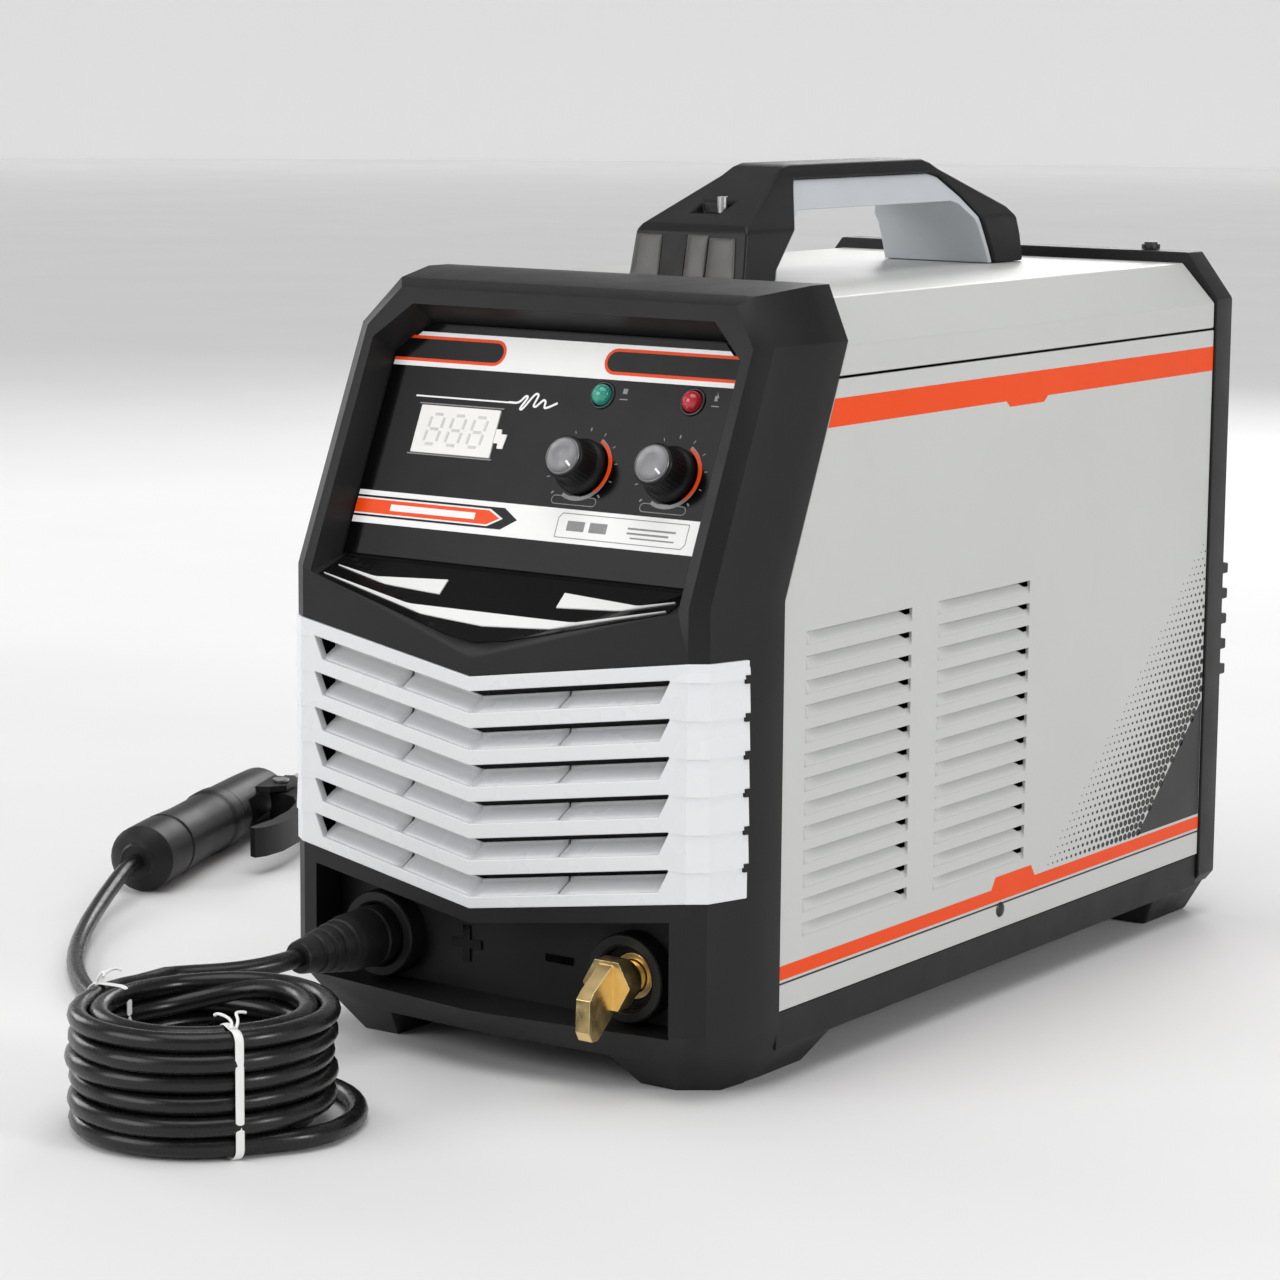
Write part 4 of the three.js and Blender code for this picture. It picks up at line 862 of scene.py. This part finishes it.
corner = [(89.2, wall_y(89.2) - 0.6), (FACE_W + 0.35, FRONT_Y - 0.6), (103.9, -188.6), (110.05, -169.95)]
bm = bmesh.new()
for i in range(6):
    zc = TOPC - 6.3 - i * PITCH
    ze = zc + drop * (89 / FACE_W)
    hi = ze + (TOPE - ze) * 0.0
    for s in (-1, 1):
        rings = []
        z_bot, z_top = ze - 0.2, ze + (4.4 if i == 0 else 13.6)
        for k, (x, y) in enumerate(corner):
            a = corner[max(0, k - 1)]
            b = corner[min(len(corner) - 1, k + 1)]
            tx, ty = b[0] - a[0], b[1] - a[1]
            l = math.hypot(tx, ty)
            nx, ny = ty / l, -tx / l
            if k == 0:
                nx, ny = -0.1, -1.0
            rise = 0.0
            if k == 0:
                t_out = 0.05
            else:
                t_out = 0.75
            rings.append([bm.verts.new(P(s * (x + nx * o_), y + ny * o_, zz + rise))
                          for o_, zz in ((-0.4, z_bot), (t_out, z_bot), (0.04, z_top), (-0.4, z_top))])
        for a, b in zip(rings[:-1], rings[1:]):
            for j in range(4):
                bm.faces.new((a[j], a[(j + 1) % 4], b[(j + 1) % 4], b[j]))
        bm.faces.new(rings[0])
        bm.faces.new(rings[-1][::-1])
piece("grille_laps", bm, "silver_plastic", "root", smooth_faces=False)
bm = bmesh.new()
for i in range(6):
    ze = TOPC - 6.3 - i * PITCH + drop * (89 / FACE_W)
    for s in (-1, 1):
        prism_into(bm, [(-172.6, ze - 2.0), (-169.7, ze - 2.0), (-169.7, ze + 1.3), (-172.6, ze + 1.3)],
                   lambda u, v, d, s=s: P(s * (109.2 + d + (u + 169.7) * 0.3), u, v), 0.2, 2.1)
piece("grille_notches", bm, "black_plastic", "root", smooth_faces=False)

# ---------------------------------------------------------------- signs on the floor of the socket bay
bay3 = lambda u, v, d: P(u, -177.0 - d, v)
plates("bay_signs", [
    [(-30.6, 44.2), (-24.8, 44.2), (-24.8, 38.4), (-21.2, 38.4), (-21.2, 44.2), (-15.4, 44.2), (-15.4, 47.8), (-21.2, 47.8), (-21.2, 53.6), (-24.8, 53.6),
     (-24.8, 47.8), (-30.6, 47.8)],
    rect(17.6, 31.0, 44.6, 47.8)], bay3, -0.2, 0.9, "black_gloss")


# ---------------------------------------------------------------- sill under the overlay: glossy plate, white V and wedges
def plane_z(p, q, r):
    a, b = [q[i] - p[i] for i in range(3)], [r[i] - p[i] for i in range(3)]
    n = (a[1] * b[2] - a[2] * b[1], a[2] * b[0] - a[0] * b[2], a[0] * b[1] - a[1] * b[0])
    k = sum(n[i] * p[i] for i in range(3))
    return lambda x, y: (k - n[0] * x - n[1] * y) / n[2]


TIP = (0, -207.4, 174)
BL_, BR_ = (-89, -175.006, 202.374), (89, -175.006, 202.374)
AL_, AR_ = (-92.4, -195.667, 196.387), (92.4, -195.667, 196.387)
SILL = [plane_z(TIP, BL_, BR_), plane_z(AL_, TIP, BL_), plane_z(AR_, TIP, BR_)]
sill_z = lambda x, y: max(f(x, y) for f in SILL)


def sill_strip(name, x0, x1, front, back, d0, d1, material, slot, n=24, rows=8):
    """A thin closed sheet on the sill between two edges given as y of x."""
    bm = bmesh.new()
    grid = {}
    for i in range(n + 1):
        x = x0 + (x1 - x0) * i / n
        for j in range(rows + 1):
            y = front(x) + (back(x) - front(x)) * j / rows
            for k, d in enumerate((d0, d1)):
                grid[i, j, k] = bm.verts.new(P(x, y - d * 0.5, sill_z(x, y) + d * 0.85))
    for i in range(n):
        for j in range(rows):
            bm.faces.new((grid[i, j, 1], grid[i + 1, j, 1], grid[i + 1, j + 1, 1], grid[i, j + 1, 1]))
            bm.faces.new((grid[i, j, 0], grid[i, j + 1, 0], grid[i + 1, j + 1, 0], grid[i + 1, j, 0]))
    for i in range(n):
        for j in (0, rows):
            bm.faces.new((grid[i, j, 0], grid[i + 1, j, 0], grid[i + 1, j, 1], grid[i, j, 1]))
    for j in range(rows):
        for i in (0, n):
            bm.faces.new((grid[i, j, 0], grid[i, j + 1, 0], grid[i, j + 1, 1], grid[i, j, 1]))
    return piece(name, bm, material, "root", smooth_faces=False)


sill_strip("sill_plate", -87.6, 87.6, lambda x: -203.4 + 9.0 * abs(x) / 87.6, lambda x: -176.2, -0.1, 0.5, "sill_gloss", "black_gloss", n=48, rows=10)
sill_strip("sill_chevron", -85.6, 85.6, lambda x: -197.5 + 4.9 * abs(x) / 85.6, lambda x: -192.35, 0.1, 1.0, "white_panel", "window", n=48, rows=5)
for s, nm in ((-1, "left"), (1, "right")):
    xs = sorted((s * 29.4, s * 84.5))
    sill_strip(f"sill_wedge_{nm}", *xs, lambda x: -187.3 + 2.75 * (abs(x) - 29.4) / 55.1, lambda x: -181.5 - 2.75 * (abs(x) - 29.4) / 55.1,
               0.1, 1.0, "white_panel", "window", n=20, rows=4)

# ---------------------------------------------------------------- handle: pads at the foot of the front leg
PADS = [(-27.0, -14.0), (-1.2, 9.6), (10.2, 23.6)]


def leg3(u, v, d):
    y = -57 + (v - 313.4) * (1.4 / 4.6) if v < 318 else -55.6 + (v - 318) * (3.1 / 16)
    return P(u, y - d, v)


def pad(name, x0, x1, x2, x3, z0, z1, material, d=1.0):
    """A raised pad: bottom from x0 to x1, top from x2 to x3, its edges rounded over."""
    bm = bmesh.new()
    n = 6
    rows = []
    for i in range(n + 1):
        f = i / n
        z = z0 + (z1 - z0) * f
        a, b = x0 + (x2 - x0) * f, x1 + (x3 - x1) * f
        rows.append([(a + (b - a) * j / 4, z) for j in range(5)])
    lo = [[bm.verts.new(leg3(x, z, -0.4)) for x, z in r] for r in rows]
    hi = [[bm.verts.new(leg3(x, z, d * (0.55 if i in (0, n) or j in (0, 4) else 1.0))) for j, (x, z) in enumerate(r)] for i, r in enumerate(rows)]
    for i in range(n):
        for j in range(4):
            bm.faces.new((hi[i][j], hi[i][j + 1], hi[i + 1][j + 1], hi[i + 1][j]))
            bm.faces.new((lo[i][j], lo[i + 1][j], lo[i + 1][j + 1], lo[i][j + 1]))
    for i in range(n):
        for j in (0, 4):
            bm.faces.new((lo[i][j], lo[i + 1][j], hi[i + 1][j], hi[i][j]))
    for j in range(4):
        for i in (0, n):
            bm.faces.new((lo[i][j], lo[i][j + 1], hi[i][j + 1], hi[i][j]))
    o = piece(name, bm, material, "root")
    soften(o, 0.5, angle=35, segments=2)
    return o


# the pads use a lighter copy of the black plastic, which holds painted sheen
pad("handle_pad_a", PADS[0][0] - 1.6, PADS[0][1], PADS[0][0], PADS[0][1] - 0.4, 314.2, 333.0, "pad_grey", 1.5)
pad("handle_pad_b", PADS[1][0], PADS[1][1], PADS[1][0] + 0.3, PADS[1][1], 314.2, 333.4, "pad_grey", 1.5)
pad("handle_pad_c", PADS[2][0], PADS[2][1] + 1.2, PADS[2][0], PADS[2][1] - 0.6, 314.2, 332.4, "pad_grey", 1.7)
# a flat near-black plate between the first two pads: painted shade standing in for the notch in the leg
plates("handle_notch_shade", [[(PADS[0][1] + 0.5, 314.0), (PADS[1][0] - 0.5, 314.0), (PADS[1][0] - 0.4, 333.4), (PADS[0][1] + 0.3, 333.4)]], leg3, -0.3, 0.12, "dark_inside")

# ---------------------------------------------------------------- coil ties
def tie(name, ang, node):
    path = []
    r0, r1, z0, z1, c = 35.2, 52.8, 0.55, 49.9, 4.2
    corners = [(r0, z0), (r1, z0), (r1, z1), (r0, z1)]
    pts = []
    for (cx, cz, a0) in ((r1 - c, z0 + c, -90), (r1 - c, z1 - c, 0), (r0 + c, z1 - c, 90), (r0 + c, z0 + c, 180)):
        for k in range(7):
            a = math.radians(a0 + 90 * k / 6)
            pts.append((cx + c * math.cos(a), cz + c * math.sin(a)))
    dirv = Vector((math.cos(ang), math.sin(ang), 0))
    perp = Vector((-math.sin(ang), math.cos(ang), 0))
    bm = bmesh.new()
    rings = []
    n = len(pts)
    for k, (r, z) in enumerate(pts):
        a, b = pts[k - 1], pts[(k + 1) % n]
        tx, tz = b[0] - a[0], b[1] - a[1]
        l = math.hypot(tx, tz)
        nr, nz = tz / l, -tx / l
        skew = 1.2 * math.sin(2 * math.pi * k / n)
        ring = []
        for j in range(10):
            q = 2 * math.pi * j / 10
            w, t = 1.7 * math.cos(q), 0.42 * math.sin(q)
            base = Vector((CX, CY, 0)) + dirv * (r + nr * t) + perp * (w + skew) + Vector((0, 0, z + nz * t))
            ring.append(bm.verts.new(P(*base)))
        rings.append(ring)
    for a, b in zip(rings, rings[1:] + rings[:1]):
        for j in range(10):
            bm.faces.new((a[j], a[(j + 1) % 10], b[(j + 1) % 10], b[j]))
    o = piece(name, bm, "tie_white", "root")
    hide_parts(node)
    # twisted tails
    cu = bpy.data.curves.new(name + "_tail", "CURVE")
    cu.dimensions = "3D"
    cu.bevel_depth = 0.0006
    cu.bevel_resolution = 3
    cu.use_fill_caps = True
    for sgn in (-1, 1):
        sp = cu.splines.new("POLY")
        tail = []
        for k in range(12):
            f = k / 11
            base = Vector((CX, CY, 0)) + dirv * (r1 - 4 - 7 * f) + perp * (sgn * (1.0 + 5 * f * f) + 0.8 * math.sin(7 * f)) + Vector((0, 0, z1 + 0.8 + 4.6 * math.sin(2.2 * f)))
            tail.append(P(*base))
        sp.points.add(len(tail) - 1)
        for q, p in zip(sp.points, tail):
            q.co = (*p, 1)
    cu.materials.append(M["tie_white"])
    t = bpy.data.objects.new(name + "_tail", cu)
    bpy.context.scene.collection.objects.link(t)
    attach(t, "root")
    return o


TIES = [tie("tie_a", 3.25, "coil_tie_1"), tie("tie_b", -0.6, "coil_tie_2")]
